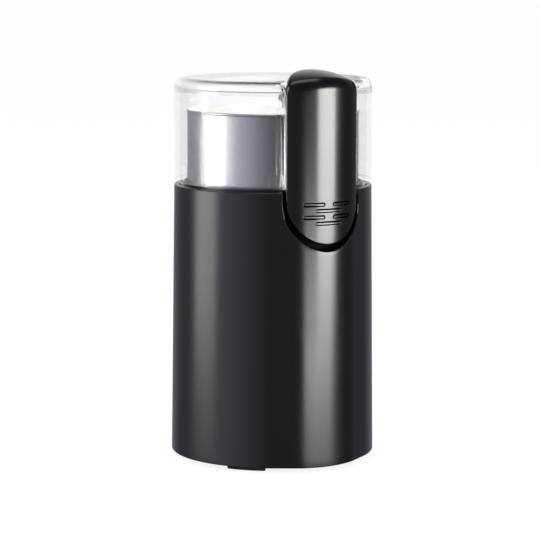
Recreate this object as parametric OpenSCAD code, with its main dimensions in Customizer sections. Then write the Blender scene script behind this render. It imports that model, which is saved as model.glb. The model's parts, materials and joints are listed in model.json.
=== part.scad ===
// Electric spice grinder with a clear lift-off lid and a press paddle on its front.
// Z is up and the origin is the centre of the round body on the surface it stands on.
// The paddle and the nose of the housing face -Y.

/* [Housing] */
// Radius of the round housing at its foot
body_r = 47.5; // [46.5:0.5:50]
// Height of the housing without its feet
body_h = 125.5; // [124:0.5:140]
// Radius that the housing and its nose lose from foot to top
draft = 1.5; // [0.5:0.25:2]
// How far the nose stands out in front of the round housing
nose_reach = 2.6; // [2.2:0.1:3.2]
// Radius of the nose at its foot
nose_r = 32.1; // [31.8:0.1:33]
// Thickness of the housing wall
shell_wall = 2.4; // [1.8:0.1:2.8]
// Thickness of the base plate
base_t = 3; // [2:0.5:4]
// Number of feet
foot_count = 3; // [3:1:5]
// Height of a foot below the housing
foot_h = 2; // [1.5:0.5:3]
// Radial width of a foot
foot_w = 7; // [5:0.5:9]
// Length of a foot along the rim, in degrees
foot_span = 24; // [16:2:36]
// Direction of the first foot, in degrees from the front
foot_turn = -47.5; // [-60:2.5:-35]

/* [Paddle and its notch] */
// Half width of the paddle
paddle_half_w = 18.6; // [17.8:0.1:18.8]
// Gap between the paddle and the notch at each side
side_gap = 1.4; // [1.2:0.1:1.8]
// How far the paddle reaches below the top of the housing
paddle_drop = 23.4; // [22:0.2:25]
// Open space below the tip of the paddle
tip_gap = 3.2; // [2.5:0.1:4]
// Thickness of the paddle wall
paddle_wall = 2.2; // [1.6:0.1:2.4]
// Height of the paddle above the rim of the lid
paddle_rise = 5; // [4.6:0.1:6]
// Radius of the dome on the paddle
dome_r = 43; // [40:1:50]
// Press angle of the paddle
press_angle = 2.4; // [1.6:0.1:2.4]
// Width of a grip slot
slot_w = 1.9; // [1.4:0.1:2.1]
// Depth of a grip slot
slot_depth = 0.8; // [0.5:0.1:1]
// Distance between rows of grip slots
slot_pitch = 2.85; // [2.6:0.05:3.1]
// Height of the lowest row of grip slots above the tip
slot_rise = 9.4; // [8:0.2:12]
// Half length of the middle grip slots
slot_half_l = 6.9; // [5:0.1:8]
// Outer end of the side grip slots
slot_outer = 12.2; // [10:0.2:13]
// Half gap between the side grip slots
slot_inner = 2; // [1.5:0.1:3]
// Radius of the hinge pin
pin_r = 1.5; // [1.2:0.1:1.8]

/* [Lid] */
// How far the lid stands back from the top of the housing
lid_setback = 0.2; // [0:0.05:0.5]
// Thickness of the lid wall
lid_wall = 2.4; // [2:0.1:2.6]
// Thickness of the lid top
lid_top_t = 2.8; // [2:0.1:3.2]
// Open space between the lid and the top of the housing
lid_gap = 1.5; // [1:0.1:2]
// Height of the lid from its edge to its rim
lid_h = 47.9; // [47:0.1:49]
// Thickness of the channel wall behind the paddle
channel_wall = 1.5; // [1.2:0.1:1.6]
// Width of a rib that the lid rests on
rib_w = 5; // [4:0.5:7]
// Height of such a rib
rib_h = 7; // [5:0.5:10]

/* [Bowl] */
// Open space between the lid and the grinding bowl
bowl_air = 3.2; // [3:0.1:3.9]
// Height of the bowl above the top of the housing
bowl_rise = 34.8; // [30:0.2:35]
// Depth of the bowl below the top of the housing
bowl_sink = 11; // [10:0.5:11.5]
// Thickness of the bowl steel
bowl_t = 0.8; // [0.6:0.1:1.2]
// Radius between the floor and the wall of the bowl
bowl_corner = 7; // [4:0.5:10]
// Running clearance round the bowl
bowl_gap = 0.3; // [0.2:0.05:0.4]

/* [Motor] */
// Radius of the motor shaft
shaft_r = 3; // [2.5:0.25:3.5]
// Outer radius of the stator
stator_r = 29; // [27:0.5:31]
// Height of the stator and armature cores
core_h = 22; // [18:1:24]
// Radius of the armature
armature_r = 14.5; // [13:0.5:16]
// Air gap between the armature and the stator
air_gap = 0.5; // [0.4:0.1:0.8]
// Number of armature slots
armature_slots = 12; // [8:2:16]
// Radius of the commutator
commutator_r = 9; // [8:0.5:10]
// Radius of the cooling fan
fan_r = 21; // [18:0.5:21.5]
// Number of fan blades
fan_blades = 9; // [5:1:13]
// Length of the cutting blade
blade_l = 62; // [50:1:68]
// Width of the cutting blade
blade_w = 11; // [8:1:14]

/* [Hidden] */
$fn = 96;
eps = 0.01;
fit = 0.1;          // clearance of parts that are pushed into one another
run_fit = 0.05;     // radial clearance of parts that turn or slide in one another
far = 100;          // reach of a cut that ends in the open
black = "#1c1d20";
steel = "#b9bbbd";
copper = "#b5703a";

// Main radii and levels
nose_offset = body_r + nose_reach - nose_r;
lid_r = body_r - draft - lid_setback;
bowl_r = lid_r - lid_wall - bowl_air;
body_z0 = foot_h;
body_z1 = body_z0 + body_h;
lid_z0 = body_z1 + lid_gap;
lid_z1 = lid_z0 + lid_h;
paddle_tip_z = body_z1 - paddle_drop;
paddle_top_z = lid_z1 + paddle_rise;
bowl_z0 = body_z1 - bowl_sink;
bowl_z1 = body_z1 + bowl_rise;
deck_t = 2.6;
shelf_t = 3;
shelf_z = bowl_z0 - shelf_t;
mount_h = 13.5;
bracket_t = 3;
upper_z = shelf_z - mount_h - bracket_t;
fan_h = 6.5;
fan_z = upper_z - fan_h - 1.5;
coil_rise = 6;
core_z = fan_z - 1.5 - coil_rise - core_h;
winding_rise = 6;
commutator_h = 12;
commutator_z = core_z - winding_rise - 1 - commutator_h;
brush_z = commutator_z + commutator_h / 2;
lower_z = commutator_z - 10;

// Notch and pocket
notch_half_w = paddle_half_w + side_gap;
notch_z = paddle_tip_z - tip_gap + notch_half_w;
pocket_wall = 1.4;
pocket_gap = 0.6;       // between the pocket and the bowl
pocket_r = bowl_r + pocket_gap + pocket_wall;
liner_wall = 1.6;

// Paddle
tip_z = paddle_tip_z + paddle_half_w;
paddle_r = nose_r - draft;
paddle_depth = 7.4;     // from the front of the paddle to the back of its side walls
paddle_back = nose_offset + paddle_r - paddle_depth + 0.2;
cap_r = paddle_half_w + 0.4;
cap_y = -(nose_offset + paddle_r - 0.6);
cap_lift = 3.9;         // of the cap's skirt above the rim of the bowl
cap_skirt_z = bowl_z1 + cap_lift;
dome_back = 18.6;       // from the front of the paddle to the top of its dome
dome_y = -(nose_offset + paddle_r - dome_back);
dome_z = paddle_top_z - dome_r;

// Channel and recess of the lid
channel_gap = 0.7;      // between the channel and the bowl
channel_r = bowl_r + channel_gap + channel_wall;
channel_side = 1.8;
recess_gap = 0.8;       // below the cap's skirt
recess_z = cap_skirt_z - recess_gap;
recess_floor = 1.6;
recess_r = cap_r + 1.2;
fairing_r = 60;
fairing_drop = 1.6;     // of the lid's fairing below the dome of the paddle
fairing_z = paddle_top_z - fairing_drop - fairing_r;

// Hinge pin
pin_back = 12.6;        // from the front of the paddle to the hinge pin
pin_y = -(nose_offset + paddle_r - pin_back);
pin_z = cap_skirt_z + 3.8;
pin_half_l = 18.4;
pin_seat_l = 3.4;
pin_boss_r = pin_r + 1.9;

// Switch
guide_r = 5.4;
plunger_gap = 0.3;      // between pieces that push one another
plunger_z = shelf_z - guide_r - plunger_gap;
plunger_head_r = 3.6;
plunger_head_l = 2.5;
plunger_dome_r = 9;
plunger_rod_r = 2;
plunger_front = nose_offset + paddle_r - paddle_wall - plunger_gap;
travel = tan(press_angle) * (pin_z - plunger_z);
end_play = 0.8;         // travel that is left when the paddle is fully pressed
head_seat_depth = pocket_r - plunger_front + plunger_head_l + travel + end_play;
guide_l = 6.7;
guide_end = pocket_r - guide_l;
clip_gap = 0.9;
clip_t = 0.6;
rod_end = guide_end - clip_gap - 2 * clip_t - 0.5;
button_r = 1.9;
button_l = travel + end_play;
switch_front = rod_end - plunger_gap - button_l;
switch_size = [20, 10, 9];
switch_y = -switch_front + switch_size[1] / 2;

// Radius of the housing at a height
function housing_r(z) = body_r - draft * (z - body_z0) / body_h;
function nose_at(z) = nose_r - draft * (z - body_z0) / body_h;

// Solid with the outline of the housing, set in by inset
module housing(inset, z0, z1) {
    hull() {
        translate([0, 0, z0])
            cylinder(h = z1 - z0, r1 = housing_r(z0) - inset, r2 = housing_r(z1) - inset);
        translate([0, -nose_offset, z0])
            cylinder(h = z1 - z0, r1 = nose_at(z0) - inset, r2 = nose_at(z1) - inset);
    }
}

// Vertical ring
module ring(r_out, r_in, h) {
    difference() {
        cylinder(h = h, r = r_out);
        translate([0, 0, -eps]) cylinder(h = h + 2 * eps, r = r_in);
    }
}

// Cylinder that points to the back, from front_y at height z
module rod_y(x, front_y, z, length, r) {
    translate([x, front_y, z]) rotate([-90, 0, 0]) cylinder(h = length, r = r);
}

// Bar of the notch's shape that runs through the front
module notch_bar(half_w, z_top) {
    rotate([90, 0, 0]) linear_extrude(far) {
        translate([0, notch_z]) circle(half_w);
        translate([-half_w, notch_z]) square([2 * half_w, z_top - notch_z]);
    }
}

// Notch in front of a cylinder of radius r
module notch_in_front(half_w, r, z_top) {
    difference() {
        notch_bar(half_w, z_top);
        cylinder(h = far * 2, r = r);
    }
}

// Repeats its children round the axis
module around(count, first = 0) {
    for (i = [0 : count - 1]) rotate([0, 0, first + i * 360 / count]) children();
}

// Cross-head screw that hangs from its head, tip down
module screw(head_r, shank_r, length) {
    cross_l = head_r * 1.2;
    cross_w = 0.7;
    difference() {
        cylinder(h = head_h, r = head_r);
        for (turn = [0, 90]) rotate([0, 0, turn])
            translate([-cross_l / 2, -cross_w / 2, head_h / 2]) cube([cross_l, cross_w, head_h]);
    }
    translate([0, 0, -length]) cylinder(h = length + eps, r = shank_r);
}

// Helical springs are drawn as a stack of rings joined by short links
module coil_spring(mean_r, wire_r, length, turns) {
    pitch = (length - 2 * wire_r) / (turns - 1);
    link_r = wire_r * 0.85;
    for (i = [0 : turns - 1])
        translate([0, 0, wire_r + i * pitch])
            rotate_extrude() translate([mean_r, 0]) circle(wire_r, $fn = 16);
    for (i = [0 : turns - 2])
        rotate([0, 0, i * 180]) translate([mean_r, 0, wire_r + i * pitch])
            cylinder(h = pitch, r = link_r, $fn = 16);
}

// ---- Housing ----
boss_r = 3.8;
boss_sunk = 0.7;    // how far a boss reaches into the wall
boss_ring = body_r - shell_wall - boss_r + boss_sunk;
shelf_ring = housing_r(shelf_z) - shell_wall - boss_r + boss_sunk;
boss_web = 3;
boss_first = 45;
base_screw_count = foot_count;
base_screw_turn = foot_turn - 90 + 180 / foot_count;
base_boss_h = 18;
shelf_boss_h = 16;
screw_r = 1.4;
head_r = 2.8;
head_h = 1.8;
gland_r = 5.5;
gland_z = body_z0 + base_t + 10;

module body_shell() {
    color(black) difference() {
        union() {
            difference() {
                housing(0, body_z0, body_z1);
                housing(shell_wall, body_z0 - 1, body_z1 + 1);
            }
            around(base_screw_count, base_screw_turn) {
                translate([boss_ring, 0, body_z0 + base_t]) cylinder(h = base_boss_h, r = boss_r);
                translate([boss_ring, -boss_web / 2, body_z0 + base_t])
                    cube([nose_offset, boss_web, base_boss_h]);
            }
            around(4, boss_first) translate([shelf_ring, 0, shelf_z - shelf_boss_h])
                cylinder(h = shelf_boss_h, r = boss_r);
        }
        notch_bar(notch_half_w, far * 2);
        around(base_screw_count, base_screw_turn) translate([boss_ring, 0, 0])
            cylinder(h = body_z0 + base_t + base_boss_h - 4, r = screw_r);
        around(4, boss_first) translate([shelf_ring, 0, shelf_z - shelf_boss_h + 3])
            cylinder(h = far, r = screw_r);
        rod_y(0, 0, gland_z, far, gland_r);
        difference() {
            cylinder(h = far * 2, r = far);
            housing(0, body_z0, body_z1);
        }
    }
}

module base_plate() {
    vent_count = 10;
    vent_r = 16;
    vent_l = 9;
    vent_w = 3;
    pedestal_r = damper_r + 2.6;
    color(black) difference() {
        union() {
            housing(shell_wall + fit, body_z0, body_z0 + base_t);
            cylinder(h = lower_z - damper_h + 4, r = pedestal_r);
        }
        translate([0, 0, body_z0 - far]) cylinder(h = far, r = far);
        translate([0, 0, lower_z - damper_h]) cylinder(h = far, r = damper_r + fit);
        around(vent_count)
            translate([vent_r, -vent_w / 2, 0]) cube([vent_l, vent_w, far]);
        around(base_screw_count, base_screw_turn) {
            translate([boss_ring, 0, 0]) cylinder(h = far, r = screw_r + 0.2);
            translate([boss_ring, 0, 0]) cylinder(h = body_z0 + head_h, r = head_r + 0.2);
        }
        around(foot_count, foot_turn - 90) foot(foot_h + 1.2, fit);
    }
}

// Arc-shaped foot that points along +X
module foot(height, grow) {
    outer = body_r - shell_wall - 1.2;
    rotate([0, 0, -foot_span / 2 - grow]) rotate_extrude(angle = foot_span + 2 * grow)
        translate([outer - foot_w - grow, 0]) square([foot_w + 2 * grow, height]);
}

module rubber_feet() {
    color("#0d0d0d") around(foot_count, foot_turn - 90) foot(foot_h + 1.2 - fit, 0);
}

module base_screws() {
    color(steel) around(base_screw_count, base_screw_turn)
        translate([boss_ring, 0, body_z0 + head_h]) rotate([180, 0, 0])
            screw(head_r, screw_r - run_fit, 12);
}

module cord_gland() {
    wall_y = housing_r(gland_z);
    inner_y = wall_y - shell_wall - 3;
    outer_y = body_r + nose_reach;
    flange_r = gland_r + 1.8;
    flange_t = 2;
    bore_r = 3.1;
    color("#0d0d0d") difference() {
        union() {
            rod_y(0, inner_y, gland_z, outer_y - inner_y, gland_r - fit);
            rod_y(0, inner_y, gland_z, flange_t, flange_r);
            rod_y(0, outer_y - flange_t, gland_z, flange_t, flange_r);
        }
        rod_y(0, 0, gland_z, far, bore_r);
    }
}

terminal_size = [22, 9, 8];
terminal_y = body_r - shell_wall - terminal_size[1] - 9.1;
terminal_pitch = 7;

module terminal_block() {
    color("ivory") translate([-terminal_size[0] / 2, terminal_y, body_z0 + base_t]) difference() {
        cube(terminal_size);
        for (i = [-1 : 1]) translate([terminal_size[0] / 2 + i * terminal_pitch,
                                      terminal_size[1] / 2, terminal_size[2] - 2])
            cylinder(h = 3, r = 2);
    }
}

// Round wire through a list of points, with every other length a little thinner
module wire(points, r) {
    thin = 0.93;
    joint = 1.2;
    for (i = [0 : len(points) - 2]) {
        step = points[i + 1] - points[i];
        length = norm(step);
        translate(points[i]) rotate([0, acos(step[2] / length), atan2(step[1], step[0])])
            cylinder(h = length, r = i % 2 == 0 ? r : r * thin, $fn = 16);
    }
    for (i = [1 : len(points) - 2]) translate(points[i]) sphere(r * joint, $fn = 16);
}

module lead_wires() {
    wire_r = 0.9;
    slant = 0.65;           // keeps the slanted end of a wire off what it meets
    wire_x = stator_r + 4;
    top_z = body_z0 + base_t + terminal_size[2];
    mid_y = terminal_y + terminal_size[1] / 2;
    brush_x = tube_x + tube[0] + 0.1;
    side_x = switch_size[0] / 2 + 0.1;
    front_y = -(stator_r + 5);
    color("#c9302c") wire([[terminal_pitch, mid_y, top_z + 0.1], [15, mid_y - 3.5, top_z + 7],
        [wire_x, 14, top_z + 18], [wire_x, 14, upper_z - 6], [wire_x + 1, -6, plunger_z - 2],
        [wire_x - 1, -20, plunger_z], [side_x + 4, switch_y, plunger_z],
        [side_x, switch_y, plunger_z]], wire_r);
    color("#2c4fc9") wire([[-terminal_pitch, mid_y, top_z + 0.1], [-15, mid_y - 3.5, top_z + 7],
        [-wire_x, 12, top_z + 17], [-wire_x, 0, brush_z], [-brush_x, 0, brush_z]], wire_r);
    color("#3b3b3b") wire([[-side_x - slant / 2, switch_y, plunger_z], [-wire_x, -18, plunger_z - 6],
        [-wire_x, -18, brush_z + 6], [-14, front_y, brush_z + 1], [14, front_y, brush_z - 1],
        [wire_x, -12, brush_z - 1], [brush_x + slant, 0, brush_z]], wire_r);
}

module thermal_fuse() {
    fuse_r = 2;
    color("silver") translate([stator_half_x + fuse_r + fit, 8, core_z + 5])
        cylinder(h = 12, r = fuse_r);
}

// ---- Deck, pocket and bowl ----
collar_r = bowl_r + 1.6;

module deck_ring() {
    color(black) difference() {
        union() {
            housing(shell_wall + fit, body_z1 - deck_t, body_z1);
            cylinder(h = lid_z0, r = collar_r);
        }
        cylinder(h = body_z1 - deck_t, r = far);
        cylinder(h = far * 2, r = bowl_r + bowl_gap);
        notch_in_front(notch_half_w, pocket_r, far * 2);
    }
}

module paddle_pocket() {
    inner_r = pocket_r - pocket_wall;
    guide_z = plunger_z;
    color("#101012") difference() {
        union() {
            intersection() {
                notch_bar(notch_half_w + liner_wall, body_z1);
                housing(shell_wall + fit, shelf_z - far / 2, body_z1 - deck_t - fit);
            }
            rod_y(0, -pocket_r + fit, guide_z, guide_l - fit, guide_r);
        }
        difference() {
            cylinder(h = far * 2, r = inner_r);
            rod_y(0, -pocket_r + fit, guide_z, guide_l - fit, guide_r);
        }
        notch_in_front(notch_half_w, pocket_r, far * 2);
        rod_y(0, -far, guide_z, far, plunger_rod_r + run_fit);
        rod_y(0, -far, guide_z, far - pocket_r + head_seat_depth, plunger_head_r + 0.2);
    }
}

module steel_bowl() {
    lip_r = 0.7;
    wall_r = bowl_r - lip_r / 2;
    hub_r = 5;
    color("#c9cacc") difference() {
        rotate_extrude() difference() {
            union() {
                square([wall_r - bowl_corner, bowl_z1]);
                translate([0, bowl_z0 + bowl_corner])
                    square([wall_r, bowl_z1 - bowl_z0 - bowl_corner]);
                translate([wall_r - bowl_corner, bowl_z0 + bowl_corner]) circle(bowl_corner);
                translate([wall_r - lip_r / 2, bowl_z1 - lip_r]) circle(lip_r);
            }
            square([far, bowl_z0]);
            translate([-far, 0]) square([far, far * 2]);
            translate([0, bowl_z0 + bowl_t]) square([wall_r - bowl_corner, far]);
            translate([0, bowl_z0 + bowl_corner]) square([wall_r - bowl_t, far]);
            translate([wall_r - bowl_corner, bowl_z0 + bowl_corner])
                circle(bowl_corner - bowl_t);
        }
        cylinder(h = far * 2, r = hub_r);
        around(3, 90) translate([bowl_screw_r, 0, 0]) cylinder(h = far * 2, r = screw_r + 0.1);
    }
}

bowl_screw_r = 17;

module bowl_screws() {
    color(steel) around(3, 90) translate([bowl_screw_r, 0, bowl_z0 + bowl_t])
        screw(head_r, screw_r - run_fit, 4);
}

seal_r = 4.9;

module shaft_seal() {
    color("#3a3a3a") translate([0, 0, shelf_z + 0.4]) difference() {
        union() {
            cylinder(h = shelf_t + bowl_t + 0.4, r = seal_r);
            translate([0, 0, shelf_t + bowl_t - 0.4]) cylinder(h = 1.4, r = seal_r + 2);
        }
        translate([0, 0, -1]) cylinder(h = far, r = shaft_r + run_fit);
    }
}

mount_x = 24;
mount_y = 14;
mount_r = 5;

// Repeats its children at the four rubber mounts
module at_mounts() {
    for (x = [-mount_x, mount_x]) for (y = [-mount_y, mount_y]) translate([x, y, 0]) children();
}

module motor_shelf() {
    color("#303236") difference() {
        translate([0, 0, shelf_z]) cylinder(h = shelf_t, r = housing_r(shelf_z) - shell_wall - 0.3);
        notch_in_front(notch_half_w + liner_wall + 0.4, pocket_r - pocket_wall - 0.3, far * 2);
        cylinder(h = far * 2, r = seal_r + fit);
        around(4, boss_first) translate([shelf_ring, 0, 0])
            cylinder(h = far * 2, r = screw_r + 0.2);
        around(3, 90) translate([bowl_screw_r, 0, 0]) cylinder(h = far * 2, r = screw_r);
        at_mounts() cylinder(h = far * 2, r = screw_r + fit);
        for (x = [-switch_screw_x, switch_screw_x])
            translate([x, switch_y, 0]) cylinder(h = far * 2, r = screw_r);
    }
}

module shelf_screws() {
    head_clear = bowl_z0;
    color(steel) around(4, boss_first) translate([shelf_ring, 0, head_clear])
        screw(head_r * 0.8, screw_r - run_fit, 12);
}

// ---- Motor ----
module motor_mounts() {
    waist = 0.8;
    color("#141414") at_mounts() difference() {
        translate([0, 0, upper_z + bracket_t]) cylinder(h = mount_h, r = mount_r);
        translate([0, 0, upper_z + bracket_t + mount_h / 2])
            rotate_extrude() translate([mount_r + 2 - waist, 0]) circle(2);
        translate([0, 0, upper_z]) cylinder(h = far, r = screw_r);
    }
}

module mount_studs() {
    nut_t = 1.6;
    color(steel) at_mounts() {
        translate([0, 0, upper_z - nut_t]) cylinder(h = nut_t, r = head_r, $fn = 6);
        translate([0, 0, upper_z - nut_t])
            cylinder(h = nut_t + bracket_t + mount_h + shelf_t - fit, r = screw_r - run_fit);
    }
}

bolt_y = stator_r - 4.5;
bolt_r = 1.6;
bearing_r = 8;
bearing_h = 5;
damper_r = bearing_r + 2.4;
damper_h = 10;

// Bracket with a bearing seat, two bolt holes and arms along X at the given y
module bracket(z, arm_half_l, arm_w, arms_y) {
    bar_w = 16;
    bar_half_l = bolt_y + 4.5;
    difference() {
        union() {
            translate([0, 0, z]) cylinder(h = bracket_t, r = bearing_r + 7);
            translate([-bar_w / 2, -bar_half_l, z]) cube([bar_w, 2 * bar_half_l, bracket_t]);
            for (y = arms_y) translate([-arm_half_l, y - arm_w / 2, z])
                cube([2 * arm_half_l, arm_w, bracket_t]);
        }
        translate([0, 0, z - 1]) cylinder(h = bracket_t + 2, r = bearing_r);
        for (y = [-bolt_y, bolt_y]) translate([0, y, z - 1]) cylinder(h = far, r = bolt_r + fit);
        at_mounts() translate([0, 0, z - 1]) cylinder(h = far, r = screw_r + fit);
    }
}

module upper_bracket() {
    color(steel) bracket(upper_z, mount_x + 6, 10, [-mount_y, mount_y]);
}

module lower_bracket() {
    color(steel) bracket(lower_z, tube_x + 13, 12, [0]);
}

// Two bolts with spacer tubes that hold the core between the brackets
module motor_bolts() {
    nut_t = 2.6;
    head_t = 2.2;
    spacer_wall = 0.7;
    top_z = upper_z + bracket_t;
    color("#8d8f92") for (y = [-bolt_y, bolt_y]) translate([0, y, 0]) {
        translate([0, 0, lower_z - nut_t]) cylinder(h = top_z + nut_t - lower_z, r = bolt_r);
        translate([0, 0, lower_z - nut_t]) cylinder(h = nut_t, r = 2 * bolt_r, $fn = 6);
        translate([0, 0, top_z]) cylinder(h = head_t, r = 2 * bolt_r);
        for (gap = [[lower_z + bracket_t, core_z], [core_z + core_h, upper_z]])
            translate([0, 0, gap[0]])
                ring(bolt_r + spacer_wall, bolt_r - eps, gap[1] - gap[0]);
    }
}

stator_half_x = stator_r - 3;
stator_half_y = stator_r - 1;
slot_out = stator_r - 6.5;
window_angle = 42;

// Sector between two radii, centred on +X
module sector(r_in, r_out, half_angle, h) {
    rotate([0, 0, -half_angle]) rotate_extrude(angle = 2 * half_angle)
        translate([r_in, 0]) square([r_out - r_in, h]);
}

module stator_core() {
    bore = armature_r + air_gap;
    color("#6f7276") translate([0, 0, core_z]) difference() {
        intersection() {
            cylinder(h = core_h, r = stator_r);
            translate([-stator_half_x, -stator_half_y, 0])
                cube([2 * stator_half_x, 2 * stator_half_y, core_h]);
        }
        translate([0, 0, -1]) cylinder(h = core_h + 2, r = bore);
        for (turn = [0, 180]) rotate([0, 0, turn]) translate([0, 0, -1])
            sector(bore - 1, slot_out, window_angle, core_h + 2);
        for (y = [-bolt_y, bolt_y]) translate([0, y, -1])
            cylinder(h = core_h + 2, r = bolt_r + fit);
    }
}

module field_coils() {
    coil_in = armature_r + air_gap + 0.9;
    coil_out = slot_out - 0.6;
    coil_half = 84;
    color(copper) for (turn = [90, 270]) rotate([0, 0, turn]) difference() {
        translate([0, 0, core_z - coil_rise])
            sector(coil_in, coil_out, coil_half, core_h + 2 * coil_rise);
        translate([0, 0, core_z - 0.4])
            sector(coil_in - 1, coil_out + 1, 90 - window_angle + 1, core_h + 0.8);
    }
}

module upper_bearing() {
    color("#a8a294") translate([0, 0, upper_z - 1])
        ring(bearing_r - run_fit, shaft_r + run_fit, bearing_h);
}

module lower_bearing() {
    color("#a8a294") translate([0, 0, lower_z - 1])
        ring(bearing_r - run_fit, shaft_r + run_fit, bearing_h);
}

module lower_damper() {
    color("#141414") difference() {
        translate([0, 0, lower_z - damper_h]) cylinder(h = damper_h, r = damper_r);
        translate([0, 0, lower_z - damper_h + 4]) cylinder(h = far, r = bearing_r + fit);
    }
}

tube = [16, 8.4, 7.4];
tube_x = commutator_r + 1;
tube_wall = 0.8;

module brush_holders() {
    color("#b08d3e") for (side = [0, 180]) rotate([0, 0, side]) difference() {
        translate([tube_x, -tube[1] / 2, brush_z - tube[2] / 2]) cube(tube);
        translate([tube_x - 1, -tube[1] / 2 + tube_wall, brush_z - tube[2] / 2 + tube_wall])
            cube([tube[0], tube[1] - 2 * tube_wall, tube[2] - 2 * tube_wall]);
    }
    color("#5a3b22") for (side = [0, 180]) rotate([0, 0, side]) difference() {
        translate([tube_x + 3, -5.5, lower_z + bracket_t])
            cube([9, 11, brush_z - tube[2] / 2 - lower_z - bracket_t]);
        translate([0, 0, lower_z]) cylinder(h = far, r = bearing_r + 2);
    }
}

brush_l = 9;

module carbon_brushes() {
    clear = 0.15;
    color("#2b2b2b") for (side = [0, 180]) rotate([0, 0, side]) difference() {
        translate([commutator_r - 1, -tube[1] / 2 + tube_wall + clear,
                   brush_z - tube[2] / 2 + tube_wall + clear])
            cube([brush_l + 1, tube[1] - 2 * (tube_wall + clear), tube[2] - 2 * (tube_wall + clear)]);
        cylinder(h = far, r = commutator_r + 0.1);
    }
}

module brush_springs() {
    spring_l = tube_x + tube[0] - 1 - commutator_r - brush_l;
    color(steel) for (side = [0, 180]) rotate([0, 0, side])
        translate([commutator_r + brush_l, 0, brush_z]) rotate([0, 90, 0])
            coil_spring(2, 0.3, spring_l, 5);
}

hub_z = bowl_z0 + bowl_t + 1.8;
hub_h = 3.4;
blade_t = 1.2;
blade_z = hub_z + hub_h;
nut_h = 3.6;

module motor_shaft() {
    color(steel) translate([0, 0, lower_z - 4.5])
        cylinder(h = blade_z + blade_t + 1.5 - lower_z + 4.5, r = shaft_r);
}

module armature_core() {
    slot_wide = 3;
    color("#7d8084") difference() {
        translate([0, 0, core_z]) ring(armature_r, shaft_r, core_h);
        around(armature_slots) translate([armature_r - 6, -slot_wide / 2, core_z - 1])
            cube([7, slot_wide, core_h + 2]);
    }
}

module armature_winding() {
    wound_r = armature_r - 1;
    bar = 2.6;
    color(copper) {
        for (z = [core_z - winding_rise, core_z + core_h]) translate([0, 0, z]) difference() {
            cylinder(h = winding_rise, r = wound_r);
            translate([0, 0, -1]) cylinder(h = winding_rise + 2, r = shaft_r);
            translate([0, 0, z < core_z ? 0 : winding_rise]) rotate_extrude()
                translate([wound_r, 0]) circle(2.5);
        }
        around(armature_slots) translate([armature_r - 5.9, -bar / 2, core_z - eps])
            cube([4.6, bar, core_h + 2 * eps]);
    }
}

module commutator() {
    groove = 0.5;
    color("#c07a45") difference() {
        union() {
            translate([0, 0, commutator_z]) ring(commutator_r, shaft_r, commutator_h);
            translate([0, 0, commutator_z + commutator_h - 1.5]) ring(commutator_r + 1.2, shaft_r, 2.5);
        }
        around(armature_slots) translate([commutator_r - 1, -groove / 2, commutator_z - 1])
            cube([4, groove, commutator_h + 4]);
    }
}

module cooling_fan() {
    hub = 6;
    vane_t = 1.2;
    color("#d8d5cc") {
        translate([0, 0, fan_z]) ring(hub, shaft_r, fan_h);
        translate([0, 0, fan_z + fan_h - 1.2]) ring(fan_r, hub - eps, 1.2);
        around(fan_blades) translate([hub - 0.4, -vane_t / 2, fan_z])
            cube([fan_r - hub, vane_t, fan_h - 1.2 + eps]);
    }
}

module blade_hub() {
    color("#6b6d70") translate([0, 0, hub_z]) ring(5.5, shaft_r, hub_h);
}

module blade() {
    tip_l = 12;
    tip_turn = 14;
    flat_l = blade_l - 2 * tip_l;
    color("silver") difference() {
        union() {
            translate([-flat_l / 2, -blade_w / 2, blade_z]) cube([flat_l, blade_w, blade_t]);
            for (side = [0, 180]) rotate([0, 0, side])
                translate([flat_l / 2 - 0.15, -blade_w / 2, blade_z])
                    rotate([0, side == 0 ? -tip_turn : tip_turn, 0])
                        difference() {
                            cube([tip_l, blade_w, blade_t]);
                            translate([tip_l, 0, -1]) rotate([0, 0, 25]) cube([far, blade_w * 2, 4]);
                        }
        }
        cylinder(h = far * 2, r = shaft_r);
    }
}

module blade_nut() {
    color(steel) translate([0, 0, blade_z + blade_t]) difference() {
        union() {
            cylinder(h = nut_h, r = 4.6, $fn = 6);
            translate([0, 0, nut_h - 0.4]) cylinder(h = 1, r1 = 3.8, r2 = 3);
        }
        translate([0, 0, -1]) cylinder(h = 2.5, r = shaft_r);
    }
}

// ---- Switch ----
switch_screw_x = 7;

module switch_body() {
    color("#26282c") difference() {
        translate([-switch_size[0] / 2, -switch_front, shelf_z - switch_size[2]])
            cube([switch_size[0], switch_size[1], switch_size[2]]);
        rod_y(0, -switch_front - 1, plunger_z, button_l + 3, button_r + run_fit);
        for (x = [-switch_screw_x, switch_screw_x])
            translate([x, switch_y, 0]) cylinder(h = far * 2, r = screw_r - run_fit);
    }
}

module switch_screws() {
    color(steel) for (x = [-switch_screw_x, switch_screw_x])
        translate([x, switch_y, shelf_z - switch_size[2]])
            rotate([180, 0, 0]) screw(2.4, screw_r - 2 * run_fit, switch_size[2] + shelf_t - 0.5);
}

module switch_button() {
    color("#a33030") rod_y(0, -switch_front - button_l, plunger_z, button_l + 0.4, button_r);
}

module switch_plunger() {
    color("#101012") {
        intersection() {
            rod_y(0, -plunger_front, plunger_z, plunger_head_l, plunger_head_r);
            translate([0, -plunger_front + plunger_dome_r, plunger_z]) sphere(plunger_dome_r);
        }
        rod_y(0, -plunger_front + 1, plunger_z, plunger_front - 1 - rod_end, plunger_rod_r);
    }
}

module plunger_clip() {
    color(steel) translate([0, -guide_end + clip_gap, plunger_z]) rotate([-90, 0, 0])
        ring(plunger_rod_r + 1.6, plunger_rod_r, clip_t);
}

// ---- Lid ----
ceiling_z = lid_z1 - 2 - lid_top_t;
rim_w = 2;
rest_gap = 0.3;

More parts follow.
